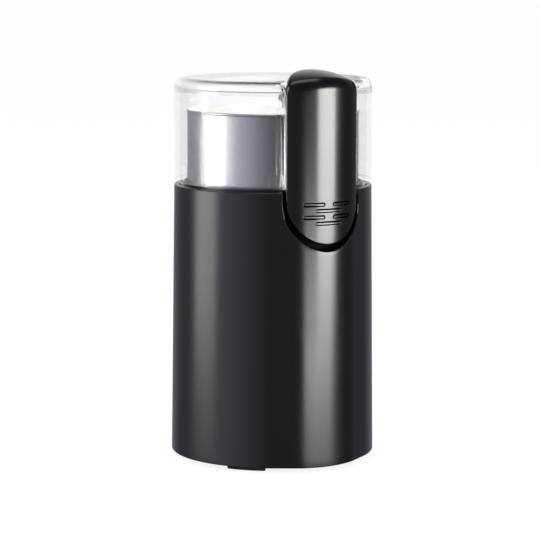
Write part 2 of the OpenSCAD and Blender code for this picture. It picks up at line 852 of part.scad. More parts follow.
module lid_envelope() {
    rotate_extrude() difference() {
        union() {
            square([lid_r, lid_z1 - rim_w]);
            square([lid_r - rim_w, lid_z1]);
            translate([lid_r - rim_w, lid_z1 - rim_w]) circle(rim_w);
        }
        square([far, lid_z0]);
        translate([-far, 0]) square([far, far * 2]);
        translate([0, lid_z1 - 2]) square([lid_r - lid_wall - 4, far]);
    }
    intersection() {
        translate([0, dome_y, fairing_z]) sphere(fairing_r);
        translate([0, 0, ceiling_z]) cylinder(h = far, r = lid_r - rim_w);
    }
}

module lid_hollow() {
    translate([0, 0, lid_z0 - 1]) cylinder(h = ceiling_z - lid_z0 + 1, r = lid_r - lid_wall);
    intersection() {
        translate([0, dome_y, fairing_z]) sphere(fairing_r - lid_top_t);
        translate([0, 0, ceiling_z - eps]) cylinder(h = far, r = lid_r - lid_wall - rim_w);
    }
}

// Walls of the channel and of the recess under the paddle cap
module channel_block() {
    side = notch_half_w + channel_side;
    difference() {
        translate([-side, -far, lid_z0]) cube([2 * side, far, recess_z - lid_z0]);
        cylinder(h = far * 2, r = bowl_r + channel_gap);
    }
    translate([0, cap_y, recess_z - recess_floor]) cylinder(h = far, r = recess_r + channel_side);
    for (x = [-pin_half_l, pin_half_l - pin_seat_l]) translate([x, pin_y, pin_z])
        rotate([0, 90, 0]) cylinder(h = pin_seat_l, r = pin_boss_r);
}

module channel_cavity() {
    intersection() {
        translate([-notch_half_w, -far, 0]) cube([2 * notch_half_w, far, far * 2]);
        difference() {
            cylinder(h = far * 2, r = far);
            cylinder(h = far * 2, r = channel_r);
        }
    }
    translate([0, cap_y, recess_z]) cylinder(h = far, r = recess_r);
}

// Rib beside the channel or at the back, with its inner face on the collar
module lid_rib(angle) {
    rotate([0, 0, angle]) translate([0, -rib_w / 2, 0]) difference() {
        translate([bowl_r + 0.8, 0, lid_z0 - 1]) cube([lid_r - lid_wall - bowl_r, rib_w, rib_h]);
        translate([0, -1, 0]) cube([collar_r + 0.3, rib_w + 2, lid_z0 + rest_gap]);
    }
}

module lid_shell() {
    color([0.9, 0.95, 1, 0.4]) difference() {
        union() {
            difference() {
                lid_envelope();
                lid_hollow();
            }
            intersection() {
                lid_envelope();
                channel_block();
            }
            for (angle = [-90 - 33, -90 + 33, 45, 135]) lid_rib(angle);
        }
        translate([0, 0, lid_z0 - 2])
            cylinder(h = recess_z - recess_floor - lid_z0 + 2, r = bowl_r + channel_gap);
        channel_cavity();
        translate([-pin_half_l - fit, pin_y, pin_z]) rotate([0, 90, 0])
            cylinder(h = 2 * (pin_half_l + fit), r = pin_r + fit / 2);
    }
}

// ---- Paddle ----
module nose_disc(r) {
    translate([0, -nose_offset]) circle(r);
}

// Long wall of the paddle, seen from above
module paddle_plan() {
    difference() {
        intersection() {
            nose_disc(paddle_r);
            translate([-far, -far]) square([2 * far, far - paddle_back]);
        }
        nose_disc(paddle_r - paddle_wall);
    }
}

// Cap of the paddle, set in by inset and cut by its dome
module paddle_cap(inset, z0) {
    intersection() {
        translate([0, 0, z0]) linear_extrude(far) intersection() {
            nose_disc(paddle_r - inset);
            translate([0, cap_y]) circle(cap_r - inset);
        }
        translate([0, dome_y, dome_z]) sphere(dome_r - inset);
    }
}

// Grip slot along the front between two x values, in a row counted from the lowest
module grip_slot(x0, x1, row) {
    z = paddle_tip_z + slot_rise + row * slot_pitch;
    intersection() {
        rotate([90, 0, 0]) linear_extrude(far) {
            for (x = [x0 + slot_w / 2, x1 - slot_w / 2]) translate([x, z]) circle(slot_w / 2);
            translate([x0 + slot_w / 2, z - slot_w / 2]) square([x1 - x0 - slot_w, slot_w]);
        }
        difference() {
            cylinder(h = far * 2, r = far);
            translate([0, -nose_offset, 0]) cylinder(h = far * 2, r = paddle_r - slot_depth);
        }
    }
}

module paddle() {
    eye_x = 9.6;
    eye_l = 4;
    color(black) difference() {
        union() {
            intersection() {
                linear_extrude(far * 2) paddle_plan();
                rotate([90, 0, 0]) linear_extrude(far) {
                    translate([0, tip_z]) circle(paddle_half_w);
                    translate([-paddle_half_w, tip_z])
                        square([2 * paddle_half_w, cap_skirt_z + 4 - tip_z]);
                }
            }
            difference() {
                paddle_cap(0, cap_skirt_z);
                paddle_cap(paddle_wall, cap_skirt_z - 1);
            }
            intersection() {
                paddle_cap(paddle_wall / 2, cap_skirt_z);
                for (x = [-eye_x - eye_l, eye_x]) translate([x, pin_y, pin_z]) rotate([0, 90, 0])
                    cylinder(h = eye_l, r = pin_boss_r);
            }
        }
        for (row = [0, 2]) grip_slot(-slot_half_l, slot_half_l, row);
        for (row = [1, 3]) for (span = [[-slot_outer, -slot_inner], [slot_inner, slot_outer]])
            grip_slot(span[0], span[1], row);
        translate([-far, pin_y, pin_z]) rotate([0, 90, 0])
            cylinder(h = 2 * far, r = pin_r + run_fit);
    }
}

module paddle_pin() {
    color(steel) translate([-pin_half_l, pin_y, pin_z]) rotate([0, 90, 0])
        cylinder(h = 2 * pin_half_l, r = pin_r);
}

// Torsion spring round the hinge pin, with one leg on the paddle and one on the lid
module paddle_spring() {
    wire_r = 0.4;
    coil_r = pin_r + wire_r + 0.3;
    spring_l = 7.4;
    leg_x = spring_l / 2 - wire_r;
    leg_r = wire_r * 0.9;
    leg_reach = nose_offset + paddle_r - paddle_wall + pin_y - plunger_gap;
    color(steel) {
        translate([-spring_l / 2, pin_y, pin_z]) rotate([0, 90, 0])
            coil_spring(coil_r, wire_r, spring_l, 7);
        translate([leg_x, pin_y - coil_r, pin_z]) rotate([90, 0, 0])
            cylinder(h = leg_reach - coil_r, r = leg_r, $fn = 16);
        translate([-leg_x, pin_y + coil_r * sin(30), recess_z + fit])
            cylinder(h = pin_z - coil_r * cos(30) - recess_z - fit, r = leg_r, $fn = 16);
    }
}

body_shell();
base_plate();
rubber_feet();
base_screws();
cord_gland();
terminal_block();
lead_wires();
thermal_fuse();
deck_ring();
paddle_pocket();
steel_bowl();
bowl_screws();
shaft_seal();
motor_shelf();
shelf_screws();
motor_mounts();
mount_studs();
upper_bracket();
lower_bracket();
motor_bolts();
stator_core();
field_coils();
upper_bearing();
lower_bearing();
lower_damper();
brush_holders();
carbon_brushes();
brush_springs();
motor_shaft();
armature_core();
armature_winding();
commutator();
cooling_fan();
blade_hub();
blade();
blade_nut();
switch_body();
switch_screws();
switch_button();
switch_plunger();
plunger_clip();
lid_shell();
paddle();
paddle_pin();
paddle_spring();
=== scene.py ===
import json
import logging
import math
from collections.abc import Callable, Iterator, Sequence
from contextlib import contextmanager
from dataclasses import dataclass
from enum import Enum

import bmesh
import bpy
import numpy as np
from mathutils import Matrix, Vector
from mathutils.kdtree import KDTree

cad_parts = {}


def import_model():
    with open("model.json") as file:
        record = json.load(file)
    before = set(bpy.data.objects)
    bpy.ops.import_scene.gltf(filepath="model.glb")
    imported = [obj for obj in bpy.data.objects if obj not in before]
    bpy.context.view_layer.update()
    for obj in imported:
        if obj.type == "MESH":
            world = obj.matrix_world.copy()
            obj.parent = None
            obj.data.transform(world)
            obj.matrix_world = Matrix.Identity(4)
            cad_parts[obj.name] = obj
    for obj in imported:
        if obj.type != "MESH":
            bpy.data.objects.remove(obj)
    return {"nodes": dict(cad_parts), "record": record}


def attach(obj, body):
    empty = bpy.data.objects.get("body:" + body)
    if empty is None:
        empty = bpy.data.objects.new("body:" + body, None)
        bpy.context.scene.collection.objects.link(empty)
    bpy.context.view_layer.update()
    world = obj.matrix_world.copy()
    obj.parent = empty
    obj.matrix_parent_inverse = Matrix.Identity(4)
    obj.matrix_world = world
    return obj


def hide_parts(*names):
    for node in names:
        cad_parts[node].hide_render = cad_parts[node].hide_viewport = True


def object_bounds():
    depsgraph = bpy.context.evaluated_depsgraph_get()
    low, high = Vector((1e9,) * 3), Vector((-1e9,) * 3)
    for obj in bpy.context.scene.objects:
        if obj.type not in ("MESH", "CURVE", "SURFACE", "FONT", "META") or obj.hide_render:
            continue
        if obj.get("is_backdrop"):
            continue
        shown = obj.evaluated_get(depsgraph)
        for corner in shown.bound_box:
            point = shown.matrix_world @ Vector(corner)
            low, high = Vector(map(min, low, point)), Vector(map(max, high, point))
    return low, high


# An electric spice grinder: its looks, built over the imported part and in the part's own frame.
# The Blender meshes are in metres. Every size written here is in millimetres.

log = logging.getLogger("spice_grinder")
MM = 0.001
Point = tuple[float, float]
Colour = tuple[float, float, float]


class Choose(Enum):
    """The kind of element that an edit picks."""

    POINTS = "VERT"
    EDGES = "EDGE"
    FACES = "FACE"


class Axis(Enum):
    """The axis that a turned piece is laid along, as turns in degrees from upright."""

    UP = (0, 0, 0)
    BACK = (-90, 0, 0)
    RIGHT = (0, 90, 0)


def smooth_step(t: np.ndarray) -> np.ndarray:
    """Ease from 0 to 1 while t goes from 0 to 1."""
    t = np.clip(t, 0, 1)
    return t * t * (3 - 2 * t)


def rounded(corners: Sequence[tuple[float, float, float]], segments: int = 6) -> list[Point]:
    """Round off the corners of a closed outline.

    Args:
        corners: The corners in order, each as two coordinates and its radius.
        segments: Straight pieces that make up each rounding.

    Returns:
        The points of the outline.
    """
    points: list[Point] = []
    for index, (x, z, radius) in enumerate(corners):
        here = np.array((x, z))
        if radius <= 0:
            points.append((x, z))
            continue
        back = np.array(corners[index - 1][:2]) - here
        ahead = np.array(corners[(index + 1) % len(corners)][:2]) - here
        back, ahead = back / np.linalg.norm(back), ahead / np.linalg.norm(ahead)
        half = math.acos(float(np.clip(back @ ahead, -1, 1))) / 2
        middle = here + (back + ahead) / np.linalg.norm(back + ahead) * radius / math.sin(half)
        start = here + back * radius / math.tan(half) - middle
        end = here + ahead * radius / math.tan(half) - middle
        sweep = math.pi - 2 * half
        side = math.copysign(1, start[0] * end[1] - start[1] * end[0])
        for step in range(segments + 1):
            angle = side * sweep * step / segments
            cos, sin = math.cos(angle), math.sin(angle)
            points.append((
                float(middle[0] + start[0] * cos - start[1] * sin),
                float(middle[1] + start[0] * sin + start[1] * cos),
            ))
    return points


class Piece:
    """A mesh in the making: it starts as a primitive and is then drawn, cut and rounded."""

    def __init__(self, name: str, obj: bpy.types.Object) -> None:
        """Take a mesh object in hand under its own name."""
        self.obj = obj
        obj.name = name
        obj.data.name = name

    @classmethod
    def start(cls, name: str, add: Callable[..., object], at: Sequence[float] = (0, 0, 0),
              turn: Sequence[float] = (0, 0, 0), **settings: object) -> "Piece":
        """Add a primitive and apply its place.

        Args:
            name: Name of the piece.
            add: The operator that adds the primitive.
            at: Its middle.
            turn: Its turns about X, Y and Z in degrees.
            settings: What else the operator is told, in metres.

        Returns:
            The new piece.
        """
        bpy.ops.object.select_all(action="DESELECT")
        add(location=[c * MM for c in at], rotation=[math.radians(a) for a in turn], **settings)
        bpy.ops.object.transform_apply(location=True, rotation=True, scale=True)
        return cls(name, bpy.context.object)

    @classmethod
    def rod(cls, name: str, radius: float, length: float, at: Sequence[float],
            axis: Axis = Axis.UP, sides: int = 96) -> "Piece":
        """Add a plain round bar, given its radius, its length and its middle."""
        return cls.start(name, bpy.ops.mesh.primitive_cylinder_add, at, axis.value,
                         vertices=sides, radius=radius * MM, depth=length * MM)

    @classmethod
    def block(cls, name: str, low: Sequence[float], high: Sequence[float]) -> "Piece":
        """Add a box between its lowest and its highest corner."""
        size = [(b - a) * MM for a, b in zip(low, high)]
        middle = [(a + b) / 2 for a, b in zip(low, high)]
        return cls.start(name, bpy.ops.mesh.primitive_cube_add, middle, size=1, scale=size)

    @classmethod
    def turned(cls, name: str, outline: Sequence[Point], at: Sequence[float] = (0, 0, 0),
               axis: Axis = Axis.UP, steps: int = 160) -> "Piece":
        """Spin a closed outline of (radius, height) points, as on a lathe.

        Args:
            name: Name of the piece.
            outline: The section on one side of the axis.
            at: Where the axis starts.
            axis: The way the axis points.
            steps: Flat sides round the piece.

        Returns:
            The closed turned piece.
        """
        piece = cls.start(name, bpy.ops.mesh.primitive_circle_add, vertices=len(outline), radius=MM)
        piece.put(np.array([(r, 0, z) for r, z in outline]))
        with piece.editing():
            bpy.ops.mesh.select_all(action="SELECT")
            bpy.ops.mesh.spin(steps=steps, angle=math.tau, center=(0, 0, 0), axis=(0, 0, 1))
        piece.close()
        piece.obj.location = [c * MM for c in at]
        piece.obj.rotation_euler = [math.radians(a) for a in axis.value]
        piece.hold()
        bpy.ops.object.transform_apply(location=True, rotation=True, scale=True)
        return piece

    def hold(self) -> None:
        """Make this the one selected and active object."""
        bpy.ops.object.select_all(action="DESELECT")
        self.obj.select_set(True)
        bpy.context.view_layer.objects.active = self.obj

    @contextmanager
    def editing(self) -> Iterator[None]:
        """Work in edit mode, with nothing selected at the start."""
        self.hold()
        bpy.ops.object.mode_set(mode="EDIT")
        bpy.ops.mesh.select_all(action="DESELECT")
        try:
            yield
        finally:
            bpy.ops.object.mode_set(mode="OBJECT")

    def choose(self, kind: Choose, test: Callable[[Vector, Vector], bool]) -> None:
        """Select in edit mode by place and direction.

        Args:
            kind: What is selected.
            test: Says yes or no to a middle in millimetres and a normal, or an edge's direction.
        """
        bpy.ops.mesh.select_mode(type=kind.value)
        mesh = bmesh.from_edit_mesh(self.obj.data)
        for thing in {"VERT": mesh.verts, "EDGE": mesh.edges, "FACE": mesh.faces}[kind.value]:
            if kind is Choose.POINTS:
                middle, way = thing.co, thing.normal
            elif kind is Choose.EDGES:
                first, last = thing.verts
                middle, way = (first.co + last.co) / 2, (last.co - first.co).normalized()
            else:
                middle, way = thing.calc_center_median(), thing.normal
            thing.select_set(bool(test(middle / MM, way)))
        mesh.select_flush_mode()
        bmesh.update_edit_mesh(self.obj.data)

    def points(self) -> np.ndarray:
        """Read the places of all points, in millimetres."""
        flat = np.zeros(len(self.obj.data.vertices) * 3, np.float32)
        self.obj.data.vertices.foreach_get("co", flat)
        return flat.reshape(-1, 3).astype(float) / MM

    def put(self, places: np.ndarray) -> None:
        """Move all points to new places, in millimetres."""
        self.obj.data.vertices.foreach_set("co", (places * MM).astype(np.float32).ravel())
        self.obj.data.update()

    def close(self) -> None:
        """Weld the seams and turn all faces outwards."""
        with self.editing():
            bpy.ops.mesh.select_all(action="SELECT")
            bpy.ops.mesh.remove_doubles(threshold=0.002 * MM)
            bpy.ops.mesh.normals_make_consistent(inside=False)

    def modify(self, kind: str, **settings: object) -> None:
        """Add a modifier with its settings and apply it."""
        modifier = self.obj.modifiers.new(kind, kind)
        for name, value in settings.items():
            setattr(modifier, name, value)
        self.hold()
        bpy.ops.object.modifier_apply(modifier=modifier.name)

    def combine(self, other: "Piece", operation: str, keep: bool = False) -> "Piece":
        """Join, cut or trim this piece with another one.

        Args:
            other: The second closed piece.
            operation: UNION, DIFFERENCE or INTERSECT.
            keep: Whether the other piece is needed again.

        Returns:
            This piece.
        """
        self.modify("BOOLEAN", operation=operation, object=other.obj, solver="EXACT")
        if not keep:
            bpy.data.objects.remove(other.obj)
        return self

    def rims(self, count: int) -> set[tuple[int, int]]:
        """Find the edges along the outer and the inner rim of a thickened sheet.

        Args:
            count: How many points the sheet had before it was thickened.

        Returns:
            The pairs of points that these edges join.
        """
        found: set[tuple[int, int]] = set()
        for face in self.obj.data.polygons:
            if len({v < count for v in face.vertices}) == 2:
                found |= {tuple(sorted(key)) for key in face.edge_keys
                          if (key[0] < count) == (key[1] < count)}
        return found

    def weigh_edges(self, pairs: set[tuple[int, int]]) -> None:
        """Mark the edges between these pairs of points for rounding."""
        mesh = self.obj.data
        weights = mesh.attributes.new("bevel_weight_edge", "FLOAT", "EDGE")
        for edge in mesh.edges:
            if tuple(sorted(edge.vertices)) in pairs:
                weights.data[edge.index].value = 1.0

    def round_edges(self, width: float, segments: int = 3, angle: float | None = None) -> "Piece":
        """Round edges off: the marked ones, or all that are sharper than an angle in degrees."""
        limit = {"limit_method": "WEIGHT", "use_clamp_overlap": False}
        if angle is not None:
            limit = {"limit_method": "ANGLE", "angle_limit": math.radians(angle)}
        self.modify("BEVEL", width=width * MM, segments=segments, **limit)
        return self

    def grow(self, by: float) -> None:
        """Make the mesh larger or smaller about the shared origin."""
        self.hold()
        self.obj.scale = (by, by, by)
        bpy.ops.object.transform_apply(location=True, rotation=True, scale=True)

    def smooth(self, angle: float = 35, weighted: bool = True) -> "Piece":
        """Shade smooth over edges flatter than an angle, with large faces leading.

        Args:
            angle: The angle in degrees.
            weighted: Whether large faces lead. They are weighed on a mesh a thousand times
                as large, as faces of a fraction of a millimetre are too small to weigh.

        Returns:
            This piece.
        """
        self.hold()
        bpy.ops.object.shade_smooth_by_angle(angle=math.radians(angle))
        if weighted:
            self.grow(1000)
            self.modify("WEIGHTED_NORMAL", keep_sharp=True, weight=50)
            self.grow(0.001)
        return self

    def copy(self, name: str, degrees: float) -> "Piece":
        """Copy this piece with its own mesh, turned about the upright axis."""
        self.hold()
        bpy.ops.object.duplicate()
        twin = Piece(name, bpy.context.object)
        twin.obj.rotation_euler = (0, 0, math.radians(degrees))
        bpy.ops.object.transform_apply(location=True, rotation=True, scale=True)
        return twin

    def dress(self, finish: "Finish", body: str, slot: str, *nodes: str) -> "Piece":
        """Give the piece its finish and its place among the moving bodies.

        Args:
            finish: What it is made of.
            body: The body it rides on.
            slot: The record's material slot. Not used.
            nodes: The solids that it stands for.

        Returns:
            This piece.
        """
        self.obj.data.materials.clear()
        self.obj.data.materials.append(finish.material())
        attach(self.obj, body)
        if nodes:
            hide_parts(*nodes)
        log.info("%s: %d faces, on %s", self.obj.name, len(self.obj.data.polygons), body)
        return self


class Value:
    """A number inside a finish. Python's arithmetic on it adds Math nodes."""

    def __init__(self, graph: "Graph", socket: bpy.types.NodeSocket) -> None:
        """Hold one output socket of a graph."""
        self.graph = graph
        self.socket = socket

    def _sum(self, operation: str, first: object, second: object = 0.0) -> "Value":
        """Add one Math node."""
        node = self.graph.node("ShaderNodeMath", {"operation": operation}, {0: first, 1: second})
        return Value(self.graph, node.outputs[0])

    def __add__(self, other: object) -> "Value":
        """Add."""
        return self._sum("ADD", self, other)

    def __radd__(self, other: object) -> "Value":
        """Add to a number."""
        return self._sum("ADD", other, self)

    def __sub__(self, other: object) -> "Value":
        """Take away."""
        return self._sum("SUBTRACT", self, other)

    def __rsub__(self, other: object) -> "Value":
        """Take away from a number."""
        return self._sum("SUBTRACT", other, self)

    def __mul__(self, other: object) -> "Value":
        """Multiply."""
        return self._sum("MULTIPLY", self, other)

    def __rmul__(self, other: object) -> "Value":
        """Multiply a number."""
        return self._sum("MULTIPLY", other, self)

    def __pow__(self, other: object) -> "Value":
        """Raise to a power."""
        return self._sum("POWER", self, other)

    def __lt__(self, other: object) -> "Value":
        """Give 1 where this is less, and 0 elsewhere."""
        return self._sum("LESS_THAN", self, other)

    def __gt__(self, other: object) -> "Value":
        """Give 1 where this is more, and 0 elsewhere."""
        return self._sum("GREATER_THAN", self, other)

    def at_least(self, other: object) -> "Value":
        """Take the greater of two."""
        return self._sum("MAXIMUM", self, other)

    def at_most(self, other: object) -> "Value":
        """Take the lesser of two."""
        return self._sum("MINIMUM", self, other)

    def wave(self) -> "Value":
        """Take the sine."""
        return self._sum("SINE", self)


class Graph:
    """The nodes of one finish, or of the world."""

    def __init__(self, tree: bpy.types.NodeTree) -> None:
        """Start with an empty tree."""
        self.tree = tree
        tree.nodes.clear()

    def node(self, kind: str, settings: dict[str, object] | None = None,
             inputs: dict[int | str, object] | None = None) -> bpy.types.Node:
        """Add a node.

        Args:
            kind: Blender's name of the node.
            settings: Its own settings, set first; stops are the stops of a colour ramp.
            inputs: Values or links for its sockets, by name or number.

        Returns:
            The node.
        """
        made = self.tree.nodes.new(kind)
        for name, value in (settings or {}).items():
            if name == "stops":
                for stop, (place, colour) in zip(made.color_ramp.elements, value):
                    stop.position = place
                    stop.color = (*colour, 1)
            else:
                setattr(made, name, value)
        for name, value in (inputs or {}).items():
            if isinstance(value, Value):
                self.tree.links.new(value.socket, made.inputs[name])
            else:
                made.inputs[name].default_value = value
        return made

    def out(self, node: bpy.types.Node, output: int | str = 0) -> Value:
        """Take an output of a node."""
        return Value(self, node.outputs[output])

    def place(self) -> Value:
        """Read the place on the piece, in metres."""
        return self.out(self.node("ShaderNodeTexCoord"), "Object")

    def stretched(self, scale: Sequence[float]) -> Value:
        """Read the place, scaled along each axis."""
        return self.out(self.node("ShaderNodeVectorMath", {"operation": "MULTIPLY"},
                                  {0: self.place(), 1: tuple(scale)}))

    def noise(self, vector: Value, scale: float, detail: float = 2.0) -> Value:
        """Add a soft noise from 0 to 1, given its lumps per metre."""
        return self.out(self.node("ShaderNodeTexNoise", None,
                                  {"Vector": vector, "Scale": scale, "Detail": detail}))

    def parts(self, vector: Value) -> tuple[Value, Value, Value]:
        """Split a vector into its three numbers."""
        node = self.node("ShaderNodeSeparateXYZ", None, {0: vector})
        return self.out(node, 0), self.out(node, 1), self.out(node, 2)

    def joined(self, x: object, y: object, z: object) -> Value:
        """Join three numbers to a vector."""
        return self.out(self.node("ShaderNodeCombineXYZ", None, {0: x, 1: y, 2: z}))

    def towards(self, way: Value, aim: Vector) -> Value:
        """Tell how far a direction agrees with another one, from 0 to 1."""
        node = self.node("ShaderNodeVectorMath", {"operation": "DOT_PRODUCT"},
                         {0: way, 1: tuple(aim)})
        return self.out(node, "Value").at_least(0.0)

    def mixed(self, factor: Value, first: Colour, second: Colour) -> Value:
        """Mix two colours."""
        node = self.node("ShaderNodeMix", {"data_type": "RGBA"},
                         {0: factor, 6: (*first, 1), 7: (*second, 1)})
        return self.out(node, 2)

    def bump(self, height: Value, depth: float, strength: float = 1.0) -> Value:
        """Raise the surface by a height from 0 to 1, given its depth in millimetres."""
        return self.out(self.node("ShaderNodeBump", None, {
            "Height": height, "Strength": strength, "Distance": depth * MM}))


def shade(colour: Colour, by: float) -> Colour:
    """Make a colour lighter or darker by a factor."""
    return tuple(min(1.0, c * by) for c in colour)


@dataclass(frozen=True)
class Finish:
    """What a piece is made of. Its name, its colour and how rough it is."""

    name: str
    colour: Colour
    roughness: float

    def material(self) -> bpy.types.Material:
        """Make the material, or find it if it is made already."""
        found = bpy.data.materials.get(self.name)
        if found is not None:
            return found
        made = bpy.data.materials.new(self.name)
        made.use_nodes = True
        graph = Graph(made.node_tree)
        graph.node("ShaderNodeOutputMaterial", None, {0: self.surface(graph)})
        return made

    def surface(self, graph: Graph) -> Value:
        """Make the shader."""
        return graph.out(graph.node("ShaderNodeBsdfPrincipled", None, self.sockets(graph)))

    def sockets(self, graph: Graph) -> dict[str, object]:
        """Work out the values and links of the shader's sockets."""
        raise NotImplementedError


@dataclass(frozen=True)
class MouldedPlastic(Finish):
    """Injection moulded plastic with a fine spark-eroded grain."""

    grain: float = 0.35
    depth: float = 0.002
    gloss: float = 0.5
    index: float = 1.5

    def sockets(self, graph: Graph) -> dict[str, object]:
        """Grain in the surface, and slow changes of colour and polish."""
        place = graph.place()
        slow = graph.noise(place, 60, 3)
        fine = graph.noise(place, 1 / (self.grain * MM), 2)
        return {
            "Base Color": graph.mixed(slow, shade(self.colour, 0.85), shade(self.colour, 1.15)),
            "Roughness": self.roughness - 0.03 + 0.06 * slow,
            "IOR": self.index,
            "Specular IOR Level": self.gloss,
            "Normal": graph.bump(fine, self.depth),
        }


@dataclass(frozen=True)
class GrippedPlastic(MouldedPlastic):
    """The same plastic on the round front of the paddle, with painted shade down the sides of its
    slots.
    """

    centre: float = -0.018
    radius: float = 0.0306
    low: float = 0.111
    high: float = 0.1235
    front: float = -0.04
    start: float = 0.00001
    end: float = 0.00015

    def surface(self, graph: Graph) -> Value:
        """Mix the painted shade in by how far a place lies below the round front."""
        x, y, z = graph.parts(graph.place())
        off = y - self.centre
        below = self.radius - (x * x + off * off) ** 0.5
        # The sides of the slots: the shade in the grooves is painted on here.
        side = (below > self.start) * (below < self.end)
        side = side * (z > self.low) * (z < self.high) * (y < self.front)
        # Painted shade: a near black, rough and without reflection, standing in for the shade that
        # falls into the slots.
        painted_shade = graph.node("ShaderNodeBsdfPrincipled", None, {
            "Base Color": (*shade(self.colour, 0.1), 1),
            "Roughness": 0.9,
            "Specular IOR Level": 0.0,
        })
        both = graph.node("ShaderNodeMixShader", None, {
            0: side, 1: super().surface(graph), 2: graph.out(painted_shade)})
        return graph.out(both)


@dataclass(frozen=True)
class ClearPlastic(Finish):
    """Clear moulded plastic, thin looking in the wall and fuller in its corners and channel."""

    index: float = 1.5
    wall: float = 0.35
    corner: float = 1.0
    front_y: float = 0.02
    shoulder_z: float = 0.1705
    shoulder_radius: float = 0.0405
    channel_y: float = -0.034
    rib_z: float = 0.1352
    rib_radius: float = 0.0432
    foot_z: float = 0.1300

    def sockets(self, graph: Graph) -> dict[str, object]:
        """Clear all through, a little rougher where it is rubbed, and no bar to the lamps."""
        rubbed = graph.noise(graph.stretched((260, 260, 60)), 1, 4)
        x, y, z = graph.parts(graph.place())
        radius = (x * x + y * y) ** 0.5
        front = ((self.front_y - y) * 25).at_least(0.0).at_most(1.0)
        shoulder = (z > self.shoulder_z) * (radius > self.shoulder_radius) * (0.06 + 0.94 * front)
        across = (x * x) ** 0.5
        inner_face = (across > 0.0188) * (across < 0.0192)
        outer_face = (across > 0.0201) * (across < 0.0205)
        channel = inner_face.at_least(outer_face) * (y < self.channel_y)
        ribs = (z < self.rib_z) * (radius < self.rib_radius) * 0.5
        foot = (z < self.foot_z) * 0.12
        corner = shoulder.at_least(channel).at_least(ribs).at_least(foot)
        shadow = graph.out(graph.node("ShaderNodeLightPath"), "Is Shadow Ray")
        return {
            "Base Color": (*self.colour, 1),
            "Roughness": self.roughness * (0.5 + rubbed),
            "IOR": self.index,
            "Transmission Weight": 1.0,
            "Alpha": (self.wall + (self.corner - self.wall) * corner) * (1 - shadow),
        }


@dataclass(frozen=True)
class SpunSteel(Finish):
    """Sheet steel brushed on a lathe: fine rings on the floor and on the wall, and a painted glow
    inside its upper wall.
    """

    lines: float = 9.0
    depth: float = 0.004
    # These three set where and how bright the band inside the bowl's upper wall glows: painted
    # light, not a lamp.
    inside: float = 0.0393
    painted_glow_z: float = 0.145
    glow: float = 1.2

    def sockets(self, graph: Graph) -> dict[str, object]:
        """Rings from the brush, broken up along their length, and a painted glow inside the bowl's
        upper wall.
        """
        x, y, z = graph.parts(graph.place())
        radius = (x * x + y * y) ** 0.5
        rings = graph.joined(x * 45, y * 45, (z + radius) * (1000 * self.lines))
        brush = graph.noise(rings, 1, 3)
        cloud = graph.noise(graph.place(), 90, 2)
        lip = ((z - self.painted_glow_z) * 90).at_least(0.0).at_most(1.0)
        return {
            "Base Color": graph.mixed(brush, shade(self.colour, 0.96), shade(self.colour, 1.03)),
            "Metallic": 1.0,
            "Roughness": self.roughness - 0.03 + 0.04 * brush + 0.03 * cloud,
            "Normal": graph.bump(brush, self.depth, 0.4),
            # Emission: painted light, a glow on the upper band of the inside wall that stands in
            # for lamp light.
            "Emission Color": graph.mixed(lip * (radius < self.inside), (0, 0, 0),
                                          shade(self.colour, self.glow)),
            "Emission Strength": 1.0,
        }


@dataclass(frozen=True)
class DrawnMetal(Finish):
    """Bare metal with fine lines along one axis of the part."""

    along: tuple[float, float, float] = (300, 300, 4000)
    depth: float = 0.01

    def sockets(self, graph: Graph) -> dict[str, object]:
        """Lines of the tool, with patches that are duller."""
        lines = graph.noise(graph.stretched(self.along), 1, 3)
        patch = graph.noise(graph.place(), 200, 3)
        return {
            "Base Color": graph.mixed(patch, shade(self.colour, 0.86), shade(self.colour, 1.08)),
            "Metallic": 1.0,
            "Roughness": self.roughness - 0.06 + 0.08 * lines + 0.06 * patch,
            "Normal": graph.bump(lines, self.depth, 0.5),
        }


@dataclass(frozen=True)
class LayeredMetal(Finish):
    """Rows side by side: stacked sheets, wound wire or bars, by the pitch and the way they lie."""

    pitch: float = 0.5
    way: tuple[float, float, float] = (0, 0, 1)
    depth: float = 0.1
    metallic: float = 1.0

    def sockets(self, graph: Graph) -> dict[str, object]:
        """A ridge for each sheet or turn, with painted shade darkening the grooves."""
        x, y, z = graph.parts(graph.place())
        run = x * self.way[0] + y * self.way[1] + z * self.way[2]
        ridge = 0.5 + 0.5 * (run * (math.tau / (self.pitch * MM))).wave()
        patch = graph.noise(graph.place(), 250, 3)
        return {
            # Base Color: painted shade, darker in the grooves where the rows meet.
            "Base Color": graph.mixed(ridge, shade(self.colour, 0.55), self.colour),
            "Metallic": self.metallic,
            "Roughness": self.roughness + 0.1 * patch,
            "Normal": graph.bump(ridge, self.depth, 0.8),
        }


@dataclass(frozen=True)
class GrainySolid(Finish):
    """Rubber, carbon or sintered metal: a fine grain with specks in it."""

    grain: float = 0.4
    depth: float = 0.03
    metallic: float = 0.0

    def sockets(self, graph: Graph) -> dict[str, object]:
        """Grains in the surface and in the colour."""
        place = graph.place()
        grains = graph.noise(place, 1 / (self.grain * MM), 4)
        dust = graph.noise(place, 120, 3)
        return {
            "Base Color": graph.mixed(grains, shade(self.colour, 0.75), shade(self.colour, 1.3)),
            "Metallic": self.metallic,
            "Roughness": self.roughness - 0.06 + 0.12 * dust,
            "Normal": graph.bump(grains, self.depth),
        }


